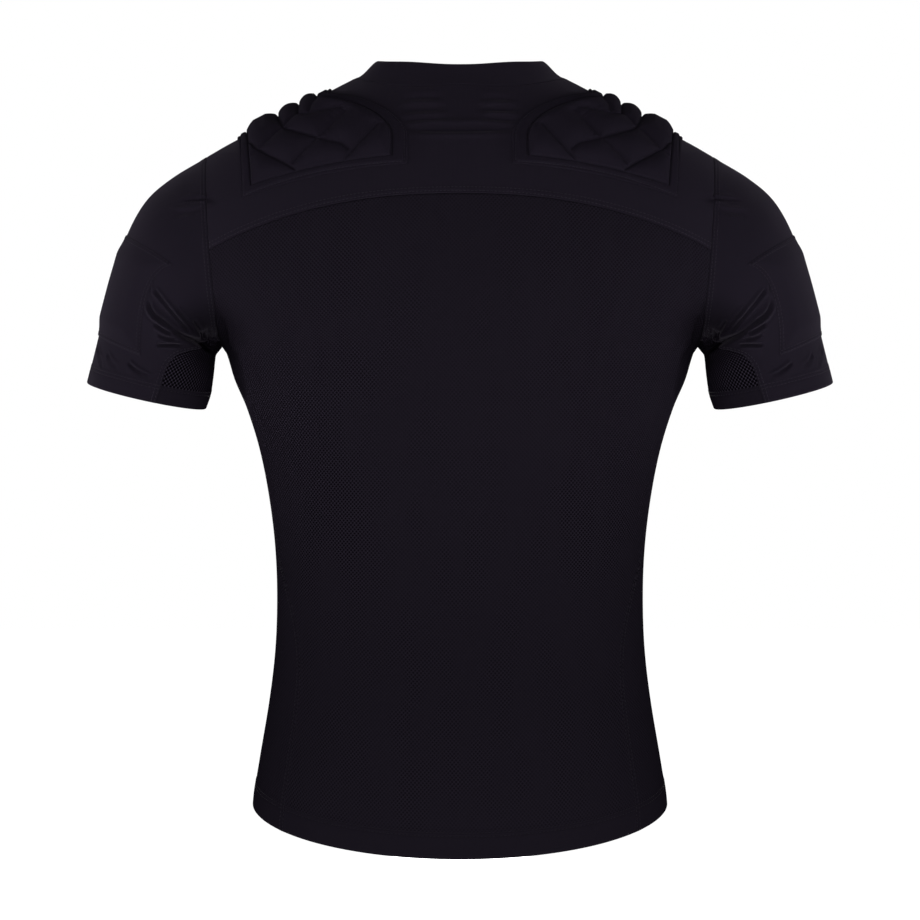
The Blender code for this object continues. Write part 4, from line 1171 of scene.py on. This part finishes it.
pad_height = PAD_LIFT + PAD_THICKNESS * np.minimum(cushion, PAD_START)
half = (slice(None, None, 2), slice(None, None, 2))
held = to_line[half] < PIN_REACH
held[[0, -1]] = held[:, [0, -1]] = True
swell = swollen(pad_points[half], pad_normals[half], pad_height[half], held)
pad_height = pad_height + np.clip(doubled(doubled(swell, 0), 1), -PAD_SINK, PAD_CAP)
pad_height = np.maximum(pad_height - CHANNEL_DEPTH * channel, PAD_LIFT + LEAST_PAD)
pad_outer = pad_points + pad_normals * pad_height[..., None]
piece = lay_cloth("shoulder_pad_right", pad_outer, pad_points + pad_normals * PAD_LIFT / 2)
mirrored(piece, "shoulder_pad_left")
print("pad swells by", np.round(np.percentile(swell, (5, 50, 95, 100)) * 1000, 1), "mm")

# %% [markdown]
# ## Pad borders
# A folded strip frames each pad and holds it to the top. It runs round a square of the pad's lattice, so it
# is a closed strip. A line of stitches near its outer edge leaves a narrow lip, and towards the pad it
# rolls into a groove, deepest beside the neck and the arm.

# %% Pad borders
BORDER_THICKNESS = 0.0028
LIP, LIP_HEIGHT, LIP_SLOPE, LIP_GROOVE, GROOVE_WIDTH = 0.0031, 0.0017, 0.0016, 0.0009, 0.0006
# Share of its height that the border keeps at its outer edge, and beside the pad at its sides and its ends
OUTER_KEPT, INNER_KEPT, END_KEPT, END_SHARE = 0.35, 0.15, 0.70, 0.02
OUTER_ROUND, INNER_ROUND, END_SHALLOW = 0.0014, 0.0026, 0.8
# How the border's columns are shared out between its ends and its sides
END_COLUMNS, SIDE_COLUMNS = 0.10, 0.18
# Steps across the border: fine at its outer edge, then even
BORDER_STEPS = np.concatenate([FINE_STEPS[:-1], np.linspace(0.0060, 0.0100, 14)])


def round_the_square(share):
    """Places round a unit square, counter-clockwise, for shares from 0 to 1."""
    corners = np.array(((0, 0), (1, 0), (1, 1), (0, 1), (0, 0)), float)
    lengths_of_sides = np.cumsum((0, END_COLUMNS, SIDE_COLUMNS, END_COLUMNS, SIDE_COLUMNS))
    place = share * lengths_of_sides[-1]
    return [np.interp(place, lengths_of_sides, corners[:, i]) for i in range(2)]


share = np.linspace(0, 1, 281)[None, :]
v = BORDER_STEPS[:, None] / BORDER_STEPS[-1]
p, q = (np.broadcast_to(part, (len(v), share.shape[1])) for part in round_the_square(share))
points, normals = pad_form(*within_border(p, q, np.broadcast_to(v, p.shape)))
distances = edge_distances(points)
from_lip, at_end = distances["bottom"] - LIP, ease(1 - np.minimum(q, 1 - q) / END_SHARE)
raised = mix(LIP_HEIGHT, BORDER_THICKNESS, ease(from_lip / LIP_SLOPE))
raised = raised * mix(OUTER_KEPT, 1.0, rounded(distances["bottom"], OUTER_ROUND))
raised = raised * mix(mix(INNER_KEPT, END_KEPT, at_end), 1.0, rounded(distances["top"], INNER_ROUND))
raised = raised - LIP_GROOVE * (1 - END_SHALLOW * at_end) * np.exp(-((from_lip / GROOVE_WIDTH) ** 2))
outer = points + normals * (PAD_LIFT + raised)[..., None]
piece = lay_cloth("pad_border_right", outer, points + normals * PAD_LIFT, closed=True)
LATTICES["pad_border_right"] = {"outer": outer, "normals": normals, "distances": distances}
mirrored(piece, "pad_border_left")
print("border is", round(float(lengths(points, 1)[0, -1]), 3), "m round")

# %% [markdown]
# ## Stitches
# The top is sewn with coverstitch, which shows as rows of short straight stitches. A row runs at one
# distance from the edge of its piece, so it is read from the piece's own grid. One stitch is a small
# stretched ball, and all the stitches of a seam are copies of its points in one joined mesh.

# %% One stitch, and the line of a seam
STITCH_LENGTH, THREAD = 0.0025, 0.00034


def seam_line(name, edge, distance):
    """Points and normals of a line that keeps one distance from a piece's edge."""
    grid = LATTICES[name]
    away, outer, normals = grid["distances"][edge], grid["outer"], grid["normals"]
    if edge in ("left", "right"):
        away, outer, normals = away.T, outer.transpose(1, 0, 2), normals.transpose(1, 0, 2)
    if edge in ("top", "right"):
        away, outer, normals = away[::-1], outer[::-1], normals[::-1]

    def read(field):
        return np.array([
            [np.interp(distance, away[:, j], field[:, j, axis]) for axis in range(3)]
            for j in range(away.shape[1])
        ])

    return read(outer), unit(read(normals))


def stitch_shape():
    """Points and faces of one stitch, a ball stretched along x."""
    shape = bmesh.new()
    bmesh.ops.create_uvsphere(shape, u_segments=5, v_segments=4, radius=1.0)
    bmesh.ops.rotate(shape, verts=shape.verts, matrix=Matrix.Rotation(RIGHT_ANGLE, 3, "Y"))
    bmesh.ops.scale(shape, verts=shape.verts, vec=(STITCH_LENGTH / 2, THREAD, THREAD))
    points = np.array([vert.co for vert in shape.verts])
    faces = [[vert.index for vert in face.verts] for face in shape.faces]
    shape.free()
    return points, faces


print("points of one stitch:", len(stitch_shape()[0]))

# %% [markdown]
# A stitch lies at each even step along its line, turned along it and partly sunk in the cloth. Some rows keep
# their ends free, and some stop at a height.

# %% Rows of stitches
# Step, rise of a thread's middle as a share of half its thickness, and a height above every row
STITCH_STEP, THREAD_ABOVE, ABOVE_ALL = 0.0034, 0.55, 1.0


def stitches_along(seam, ball, trim, below):
    """The ball's points at each stitch of a seam that is below a height and not within trim of its ends."""
    points, normals = seam_line(*seam)
    run = lengths(points, 0)
    at = np.arange(trim + STITCH_STEP / 2, run[-1] - trim, STITCH_STEP)
    at = at[np.interp(at, run, points[:, 2]) < below]

    def read(field):
        return np.stack([np.interp(at, run, field[:, axis]) for axis in range(3)], axis=-1)

    out, along = unit(read(normals)), unit(read(np.gradient(points, run, axis=0)))
    middle = read(points) + out * THREAD * THREAD_ABOVE
    ways = (along, np.cross(out, along), out)
    return middle[:, None] + sum(ball[:, axis, None] * way[:, None] for axis, way in enumerate(ways))


def sew(name, seams, trim=0.0, below=ABOVE_ALL):
    """A joined mesh of the stitches of some seams."""
    ball, faces = stitch_shape()
    places = np.concatenate([stitches_along(seam, ball, trim, below) for seam in seams])
    mesh = bpy.data.meshes.new(name)
    mesh.from_pydata(
        places.reshape(-1, 3).tolist(), [],
        [[corner + i * len(ball) for corner in face] for i in range(len(places)) for face in faces],
    )
    mesh.shade_smooth()
    print(name, "has", len(places), "stitches")
    return place(name, mesh)


print("stitches to a metre of seam:", round(1 / STITCH_STEP))

# %% [markdown]
# A seam is named by its piece, the edge that it follows and its distance from that edge. Hem, cuffs,
# armholes and the yoke have two rows, as a coverstitch machine sews them, and the side seams one. Rows on
# the side seams stop below the armhole. Pieces that come in pairs are sewn on the right and mirrored.

# %% Sew the seams
SIDES, FREE_END = ("left", "right"), 0.0012


def rows_along(piece, edges, distances):
    """Seams of a piece along some of its edges, each at some distances."""
    return [(piece, edge, distance) for edge in edges for distance in distances]


SEWN = {
    "hem_stitches": rows_along("back_panel", ["bottom"], HEM_ROWS)
    + rows_along("front_panel", ["bottom"], HEM_ROWS),
    "yoke_stitches": rows_along("back_yoke", ["bottom"], YOKE_ROWS),
    "side_seam_stitches": rows_along("back_panel", SIDES, SIDE_ROWS)
    + rows_along("front_panel", SIDES, SIDE_ROWS),
}
SEWN_RIGHT = {
    "side_panel_stitches": rows_along("side_panel_right", ["bottom"], HEM_ROWS)
    + rows_along("side_panel_right", SIDES, SIDE_ROWS),
    "sleeve_stitches": rows_along("sleeve_right", ["bottom"], CUFF_ROWS)
    + rows_along("sleeve_right", ["top"], ARMHOLE_ROWS) + rows_along("sleeve_right", SIDES, GUSSET_ROWS),
    "gusset_stitches": rows_along("underarm_gusset_right", ["bottom"], CUFF_ROWS),
    "bicep_stitches": rows_along("bicep_pad_right", (*SIDES, "bottom", "top"), BICEP_ROWS),
    "border_stitches": rows_along("pad_border_right", ["bottom"], [LIP]),
}
STITCHES = [
    sew(name, seams, below=CORNER[BACK] if "side" in name else ABOVE_ALL) for name, seams in SEWN.items()
]
for name, seams in SEWN_RIGHT.items():
    right = sew(name + "_right", seams, trim=FREE_END)
    STITCHES += [right, mirrored(right, name + "_left")]
print("stitched seams:", len(STITCHES))

# %% [markdown]
# ## Finishes
# All the cloth is black with a cool purple cast, so the differences lie in the knit: smooth jersey on the
# yoke, sleeves and collar, fine mesh on the body, open mesh under the arms, and a close cover on the foam.
# What more than one finish needs is a node group, built once. A few helpers keep the building of groups
# short.

# %% Helpers for node groups
MATH, VECTOR = "ShaderNodeMath", "ShaderNodeVectorMath"
FLOAT_SOCKET, VECTOR_SOCKET = "NodeSocketFloat", "NodeSocketVector"


def new_group(name, inputs, outputs):
    """A shader node group with its input and output nodes. Inputs are (name, socket type, value)."""
    tree = bpy.data.node_groups.new(name, "ShaderNodeTree")
    for label, kind, value in inputs:
        socket = tree.interface.new_socket(name=label, in_out="INPUT", socket_type=kind)
        if value is not None:
            socket.default_value = value
    for label in outputs:
        tree.interface.new_socket(name=label, in_out="OUTPUT", socket_type=FLOAT_SOCKET)
    return tree, tree.nodes.new("NodeGroupInput").outputs, tree.nodes.new("NodeGroupOutput").inputs


def feed(tree, socket, value):
    """Gives a socket a value, or a link from another socket."""
    if isinstance(value, bpy.types.NodeSocket):
        tree.links.new(value, socket)
    else:
        socket.default_value = value


def wire(tree, kind, operation, *values):
    """A Math or Vector Math node on these values or sockets. Its first output, or its length."""
    node = tree.nodes.new(kind)
    node.operation = operation
    for socket, value in zip(node.inputs, values):
        feed(tree, socket, value)
    return node.outputs["Value" if operation == "LENGTH" or kind == MATH else "Vector"]


def smooth_range(tree, value, low, high):
    """0 at low, 1 at high, smooth between."""
    node = tree.nodes.new("ShaderNodeMapRange")
    node.interpolation_type = "SMOOTHSTEP"
    for label, given in (("Value", value), ("From Min", low), ("From Max", high)):
        feed(tree, node.inputs[label], given)
    return node.outputs["Result"]


def noise(tree, vector, scale, detail):
    """A value that wanders between 0 and 1."""
    node = tree.nodes.new("ShaderNodeTexNoise")
    node.inputs["Scale"].default_value, node.inputs["Detail"].default_value = scale, detail
    tree.links.new(vector, node.inputs["Vector"])
    return node.outputs["Fac"]


print("groups take sockets of type", FLOAT_SOCKET, "and", VECTOR_SOCKET)

# %% [markdown]
# A mesh knit leaves holes in staggered rows. They are too small and too many to cut, so a group tells how
# much thread there is at each place, and the colour and a bump follow it. It reads the UV map, which is in
# metres, so a hole has its true size on every panel. Two lattices, half a step apart, stagger the rows.

# %% Holes of a mesh knit
# Two rows of holes take this share of the distance between holes in a row
ROW_SHARE = 1.1
# Width of a hole's soft edge inside and outside its radius, as shares of the distance between holes
EDGE_INSIDE, EDGE_OUTSIDE = 0.08, 0.12


def mesh_holes_group():
    """How much thread there is: 0 in a hole and 1 on the strands between."""
    tree, given, out = new_group(
        "mesh_holes",
        [("Vector", VECTOR_SOCKET, None), ("Pitch", FLOAT_SOCKET, 0.0027), ("Radius", FLOAT_SOCKET, 0.3)],
        ["Strand"],
    )
    size = tree.nodes.new("ShaderNodeCombineXYZ")
    tree.links.new(given["Pitch"], size.inputs["X"])
    tree.links.new(wire(tree, MATH, "MULTIPLY", given["Pitch"], ROW_SHARE), size.inputs["Y"])
    size.inputs["Z"].default_value = 1.0
    cells = wire(tree, VECTOR, "DIVIDE", given["Vector"], size.outputs["Vector"])
    away = []
    for shift in (0.0, 0.5):
        part = wire(tree, VECTOR, "FRACTION", wire(tree, VECTOR, "ADD", cells, (shift, shift, 0.0)))
        part = wire(tree, VECTOR, "SUBTRACT", part, (0.5, 0.5, 0.0))
        away.append(wire(tree, VECTOR, "LENGTH", wire(tree, VECTOR, "MULTIPLY", part, (1.0, ROW_SHARE, 0.0))))
    inside = wire(tree, MATH, "SUBTRACT", given["Radius"], EDGE_INSIDE)
    outside = wire(tree, MATH, "ADD", given["Radius"], EDGE_OUTSIDE)
    strand = smooth_range(tree, wire(tree, MATH, "MINIMUM", *away), inside, outside)
    tree.links.new(strand, out["Strand"])
    return tree


MESH_HOLES = mesh_holes_group()
print("mesh group nodes:", len(MESH_HOLES.nodes))

# %% [markdown]
# Jersey is knitted in upright columns of small V-shaped stitches. Half a wave across each column makes its
# rib, and a wave that leans away from the column's middle on both sides makes the Vs.

# %% Ribs of a jersey knit
# Lean of the wave, stitches up for each column across, and the wave's height about its level
V_LEAN, V_RATE, V_DEPTH, V_LEVEL = 1.3, 1.25, 0.25, 0.75
SHADED_BELOW = (0.1, 0.8)


def jersey_group():
    """Height of the knit, and its shade from the gaps to the tops of the ribs."""
    tree, given, out = new_group(
        "jersey_ribs", [("Vector", VECTOR_SOCKET, None), ("Pitch", FLOAT_SOCKET, 0.0011)], ["Height", "Shade"]
    )
    cells = wire(tree, VECTOR, "SCALE", given["Vector"])
    tree.links.new(wire(tree, MATH, "DIVIDE", 1.0, given["Pitch"]), cells.node.inputs["Scale"])
    axes = tree.nodes.new("ShaderNodeSeparateXYZ")
    tree.links.new(cells, axes.inputs["Vector"])
    column = wire(tree, MATH, "FRACT", axes.outputs["X"])
    aside = wire(tree, MATH, "ABSOLUTE", wire(tree, MATH, "SUBTRACT", column, 0.5))
    upward = wire(tree, MATH, "MULTIPLY", axes.outputs["Y"], V_RATE)
    lean = wire(tree, MATH, "MULTIPLY_ADD", aside, V_LEAN, upward)
    loop = wire(tree, MATH, "SINE", wire(tree, MATH, "MULTIPLY", lean, math.tau))
    loop = wire(tree, MATH, "MULTIPLY_ADD", loop, V_DEPTH, V_LEVEL)
    rib = wire(tree, MATH, "SINE", wire(tree, MATH, "MULTIPLY", column, math.pi))
    height = wire(tree, MATH, "MULTIPLY", rib, loop)
    tree.links.new(height, out["Height"])
    tree.links.new(smooth_range(tree, height, *SHADED_BELOW), out["Shade"])
    return tree


JERSEY = jersey_group()
print("jersey group nodes:", len(JERSEY.nodes))

# %% [markdown]
# Worn cloth is never one even black. A soft, wide noise stands for uneven dye and a fine one for lint. A
# third, drawn out along the height of the body, tells where a mesh is stretched more open. They are in one
# group, because every cloth takes them.

# %% Unevenness of the cloth
# Scale and detail of each noise, and the part of it that is used
WIDE_NOISE, LINT_NOISE, PATCH_NOISE = (14.0, 2.0), (420.0, 3.0), (34.0, 3.0)
LINT_RANGE, PATCH_RANGE = (0.35, 0.75), (0.35, 0.65)
PATCH_STRETCH, PATCH_LEAST = (1.6, 1.6, 0.5), 0.5


def dye_group():
    """Shade about 1, lint from 0 to 1, and how open a mesh is, from its least to 1."""
    tree, given, out = new_group(
        "dye", [("Vector", VECTOR_SOCKET, None), ("Amount", FLOAT_SOCKET, 0.15)], ["Shade", "Lint", "Patch"]
    )
    wide = wire(tree, MATH, "SUBTRACT", noise(tree, given["Vector"], *WIDE_NOISE), 0.5)
    tree.links.new(wire(tree, MATH, "MULTIPLY_ADD", wide, given["Amount"], 1.0), out["Shade"])
    lint = smooth_range(tree, noise(tree, given["Vector"], *LINT_NOISE), *LINT_RANGE)
    tree.links.new(lint, out["Lint"])
    drawn = wire(tree, VECTOR, "MULTIPLY", given["Vector"], PATCH_STRETCH)
    patch = smooth_range(tree, noise(tree, drawn, *PATCH_NOISE), *PATCH_RANGE)
    tree.links.new(wire(tree, MATH, "MULTIPLY_ADD", patch, 1.0 - PATCH_LEAST, PATCH_LEAST), out["Patch"])
    return tree


DYE = dye_group()
print("dye group nodes:", len(DYE.nodes))

# %% [markdown]
# Under each arm the colour is darkened by painted shade, for folds too fine to model one by one. A group
# measures how far a place is from the underarm, seen from behind, and puts out the share of light that is
# left there. Cloth and thread both take it.

# %% Painted shade under the arm
# Middle of the painted shade with its height counted downwards, the distances over which it ends, and the
# light left
PAINTED_SHADE_AT, PAINTED_SHADE_RUN, PAINTED_SHADE_LEFT = (0.2220, 0.0, 0.2290), (0.006, 0.042), 0.40


def painted_underarm_shade_group():
    """The share of light left by the painted shade, least at the middle under each arm."""
    tree, given, out = new_group("underarm_painted_shade", [("Vector", VECTOR_SOCKET, None)], ["Light"])
    flat = wire(tree, VECTOR, "MULTIPLY", wire(tree, VECTOR, "ABSOLUTE", given["Vector"]), (1.0, 0.0, 1.0))
    away = wire(tree, VECTOR, "LENGTH", wire(tree, VECTOR, "SUBTRACT", flat, PAINTED_SHADE_AT))
    outside = smooth_range(tree, away, *PAINTED_SHADE_RUN)
    light = wire(tree, MATH, "MULTIPLY_ADD", outside, 1.0 - PAINTED_SHADE_LEFT, PAINTED_SHADE_LEFT)
    tree.links.new(light, out["Light"])
    return tree


# Painted shade under the arms, built once
PAINTED_UNDERARM_SHADE = painted_underarm_shade_group()
print("gather group nodes:", len(PAINTED_UNDERARM_SHADE.nodes))

# %% [markdown]
# A mesh has no holes to be seen at its hem, where the cloth is doubled, or at the shoulder, where the pads
# cover the join. They show most where the body stretches it, at the sides above the waist. Both meshes take
# this from one more group, each with its own hem.

# %% Where the holes of a mesh show
# Half the width over which the holes begin above a hem, and the distances up a panel over which they end
HEM_RUN, SHOULDER_RUN = 0.0008, (0.585, 0.615)
# Where a mesh is stretched, by distance from the centre line and height, and how much it opens elsewhere
STRETCHED_FROM, STRETCHED_ABOVE, UNSTRETCHED = (0.05, 0.13), (-0.50, -0.36), 0.70


def mesh_thread_group():
    """How much thread a mesh shows. Where its holes don't show, that is its plain share."""
    values = ("Strand", 1.0), ("Patch", 1.0), ("Hem", 0.02), ("Plain", 0.5)
    tree, given, out = new_group(
        "mesh_thread",
        [("Vector", VECTOR_SOCKET, None), ("Place", VECTOR_SOCKET, None)]
        + [(label, FLOAT_SOCKET, value) for label, value in values],
        ["Thread"],
    )
    run, spot = (tree.nodes.new("ShaderNodeSeparateXYZ") for _ in range(2))
    tree.links.new(given["Vector"], run.inputs["Vector"])
    tree.links.new(given["Place"], spot.inputs["Vector"])
    hem_ends = [wire(tree, MATH, operation, given["Hem"], HEM_RUN) for operation in ("SUBTRACT", "ADD")]
    above_hem = smooth_range(tree, run.outputs["Y"], *hem_ends)
    holed = wire(tree, MATH, "SUBTRACT", above_hem, smooth_range(tree, run.outputs["Y"], *SHOULDER_RUN))
    aside = smooth_range(tree, wire(tree, MATH, "ABSOLUTE", spot.outputs["X"]), *STRETCHED_FROM)
    high_up = smooth_range(tree, spot.outputs["Z"], *STRETCHED_ABOVE)
    stretched = wire(tree, MATH, "MULTIPLY_ADD", aside, high_up, UNSTRETCHED)
    open_part = wire(tree, MATH, "MULTIPLY", wire(tree, MATH, "MULTIPLY", holed, stretched), given["Patch"])
    strand = wire(tree, MATH, "SUBTRACT", given["Strand"], given["Plain"])
    tree.links.new(wire(tree, MATH, "MULTIPLY_ADD", strand, open_part, given["Plain"]), out["Thread"])
    return tree


MESH_THREAD = mesh_thread_group()
print("mesh thread group nodes:", len(MESH_THREAD.nodes))

# %% [markdown]
# Each finish mixes two blacks: the shadow between threads and the lit thread. Its groups tell how much of
# each there is at a place.

# %% Groups in a material
def placed(tree, group, vector, **values):
    """Outputs of a node group in a material, reading a vector and with its own values."""
    node = tree.nodes.new("ShaderNodeGroup")
    node.node_tree = group
    for label, value in {"Vector": vector, **values}.items():
        feed(tree, node.inputs[label], value)
    return node.outputs


def two_blacks(tree, dark, light, share, local):
    """A colour between two, darkened under the arm by painted shade."""
    colour = tree.nodes.new("ShaderNodeMix")
    colour.data_type = "RGBA"
    colour.inputs["A"].default_value, colour.inputs["B"].default_value = (*dark, 1.0), (*light, 1.0)
    tree.links.new(share, colour.inputs["Factor"])
    dimmed = wire(tree, VECTOR, "SCALE", colour.outputs["Result"])
    # Painted shade: less light in the colour under each arm
    tree.links.new(placed(tree, PAINTED_UNDERARM_SHADE, local)["Light"], dimmed.node.inputs["Scale"])
    return dimmed


print("node groups:", ", ".join(group.name for group in bpy.data.node_groups))

# %% [markdown]
# The four cloths differ in their two blacks, in how rough they are, and in their pattern, whose height goes
# to a bump. Fine fibres give the jersey a faint sheen at grazing angles. What is the same all over a piece
# is set on the shader itself.

# %% Cloth materials
SHEEN_TINT, SHEEN_ROUGHNESS, BUMP_STRENGTH = (0.90, 0.80, 1.0, 1.0), 0.45, 0.6
# What lint adds to the roughness and to the height
LINT_ROUGHNESS, LINT_HEIGHT = 0.10, 0.15


def cloth_material(name, thread, shadow, roughness, sheen, bump, pattern, pitch, mesh=None):
    """A black cloth. A mesh gives its holes' radius, its hem's width, and its plain share of thread."""
    material, shader = new_material(name)
    tree = material.node_tree
    uv_map, local = tree.nodes.new("ShaderNodeUVMap"), tree.nodes.new("ShaderNodeTexCoord").outputs["Object"]
    uv_map.uv_map = "cloth"
    uv, dye = uv_map.outputs["UV"], placed(tree, DYE, local)
    if mesh is None:
        knit = placed(tree, pattern, uv, Pitch=pitch)
        height, share = knit["Height"], knit["Shade"]
    else:
        radius, hem, plain = mesh
        knit = placed(tree, pattern, uv, Pitch=pitch, Radius=radius)
        strand, patch = knit["Strand"], dye["Patch"]
        shown = placed(tree, MESH_THREAD, uv, Place=local, Strand=strand, Patch=patch, Hem=hem, Plain=plain)
        height = share = shown["Thread"]
    share = wire(tree, MATH, "MULTIPLY", share, dye["Shade"])
    tree.links.new(two_blacks(tree, shadow, thread, share, local), shader.inputs["Base Color"])
    rough = wire(tree, MATH, "MULTIPLY_ADD", dye["Lint"], LINT_ROUGHNESS, roughness)
    tree.links.new(rough, shader.inputs["Roughness"])
    relief = tree.nodes.new("ShaderNodeBump")
    relief.inputs["Strength"].default_value, relief.inputs["Distance"].default_value = BUMP_STRENGTH, bump
    fuzzy = wire(tree, MATH, "MULTIPLY_ADD", dye["Lint"], LINT_HEIGHT, height)
    tree.links.new(fuzzy, relief.inputs["Height"])
    tree.links.new(relief.outputs["Normal"], shader.inputs["Normal"])
    shader.inputs["Specular IOR Level"].default_value = 0.0
    shader.inputs["Sheen Weight"].default_value = sheen
    shader.inputs["Sheen Tint"].default_value = SHEEN_TINT
    shader.inputs["Sheen Roughness"].default_value = SHEEN_ROUGHNESS
    return material


FINISHES = {
    "stretch_knit": cloth_material(
        "black_stretch_knit", thread=(0.0105, 0.0085, 0.0134), shadow=(0.0068, 0.0055, 0.0087),
        roughness=0.75, sheen=0.038, bump=0.0002, pattern=JERSEY, pitch=0.0011,
    ),
    "mesh_knit": cloth_material(
        "black_mesh_knit", thread=(0.0108, 0.0088, 0.0135), shadow=(0.0022, 0.0018, 0.0028),
        roughness=0.80, sheen=0.0, bump=0.0004, pattern=MESH_HOLES, pitch=0.0034, mesh=(0.24, 0.0235, 0.61),
    ),
    "open_mesh": cloth_material(
        "black_open_mesh", thread=(0.0235, 0.0192, 0.0294), shadow=(0.0010, 0.0008, 0.0013),
        roughness=0.80, sheen=0.0, bump=0.0006, pattern=MESH_HOLES, pitch=0.0036, mesh=(0.34, 0.0168, 0.28),
    ),
    "pad_cover": cloth_material(
        "black_pad_cover", thread=(0.0101, 0.0082, 0.0130), shadow=(0.0066, 0.0053, 0.0085),
        roughness=0.75, sheen=0.013, bump=0.00015, pattern=JERSEY, pitch=0.0009,
    ),
}
print("finishes:", ", ".join(FINISHES))

# %% [markdown]
# Sewing thread is smoother than knit. Its colour is a little lighter on the jersey and darker on the mesh.
# A very fine noise stands for its twist.

# %% Thread
TWIST_NOISE, TWIST_ROUGHNESS, THREAD_ROUGHNESS = (2400.0, 2.0), 0.2, 0.4


def twist_group():
    """The twist of a thread, from 0 to 1."""
    tree, given, out = new_group("thread_twist", [("Vector", VECTOR_SOCKET, None)], ["Twist"])
    tree.links.new(noise(tree, given["Vector"], *TWIST_NOISE), out["Twist"])
    return tree


TWIST = twist_group()


def thread_material(name, dark, light):
    """A black thread with a twist of two tones."""
    material, shader = new_material(name)
    tree = material.node_tree
    local = tree.nodes.new("ShaderNodeTexCoord").outputs["Object"]
    twist = placed(tree, TWIST, local)["Twist"]
    tree.links.new(two_blacks(tree, dark, light, twist, local), shader.inputs["Base Color"])
    rough = wire(tree, MATH, "MULTIPLY_ADD", twist, TWIST_ROUGHNESS, THREAD_ROUGHNESS)
    tree.links.new(rough, shader.inputs["Roughness"])
    shader.inputs["Specular IOR Level"].default_value = 0.05
    return material


DARKER_THREAD = thread_material("darker_black_thread", (0.0062, 0.0050, 0.0078), (0.0130, 0.0106, 0.0164))
BRIGHT_THREAD = thread_material("bright_black_thread", (0.0105, 0.0086, 0.0132), (0.0225, 0.0190, 0.0275))
for piece in STITCHES:
    on_mesh = piece.name.startswith(("hem", "side", "gusset"))
    piece.data.materials.clear()
    piece.data.materials.append(DARKER_THREAD if on_mesh else BRIGHT_THREAD)
print("stitches in thread:", len(STITCHES))

# %% [markdown]
# ## What each piece is
# Each CAD node is hidden, and the piece that stands for it takes the finish of the node's material slot.

NODE_SLOTS = {part["node"]: part["material_slot"] for part in frame["record"]["subparts"]}
for name, slot in NODE_SLOTS.items():
    piece = PIECES[name]
    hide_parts(name)
    piece.data.materials.clear()
    piece.data.materials.append(FINISHES[slot])
    print(name, "takes", slot)

# %% [markdown]
# ## Finish
# The picture keeps plain tones, so white stays white.

# %% Plain tones
bpy.context.scene.view_settings.view_transform = "Standard"
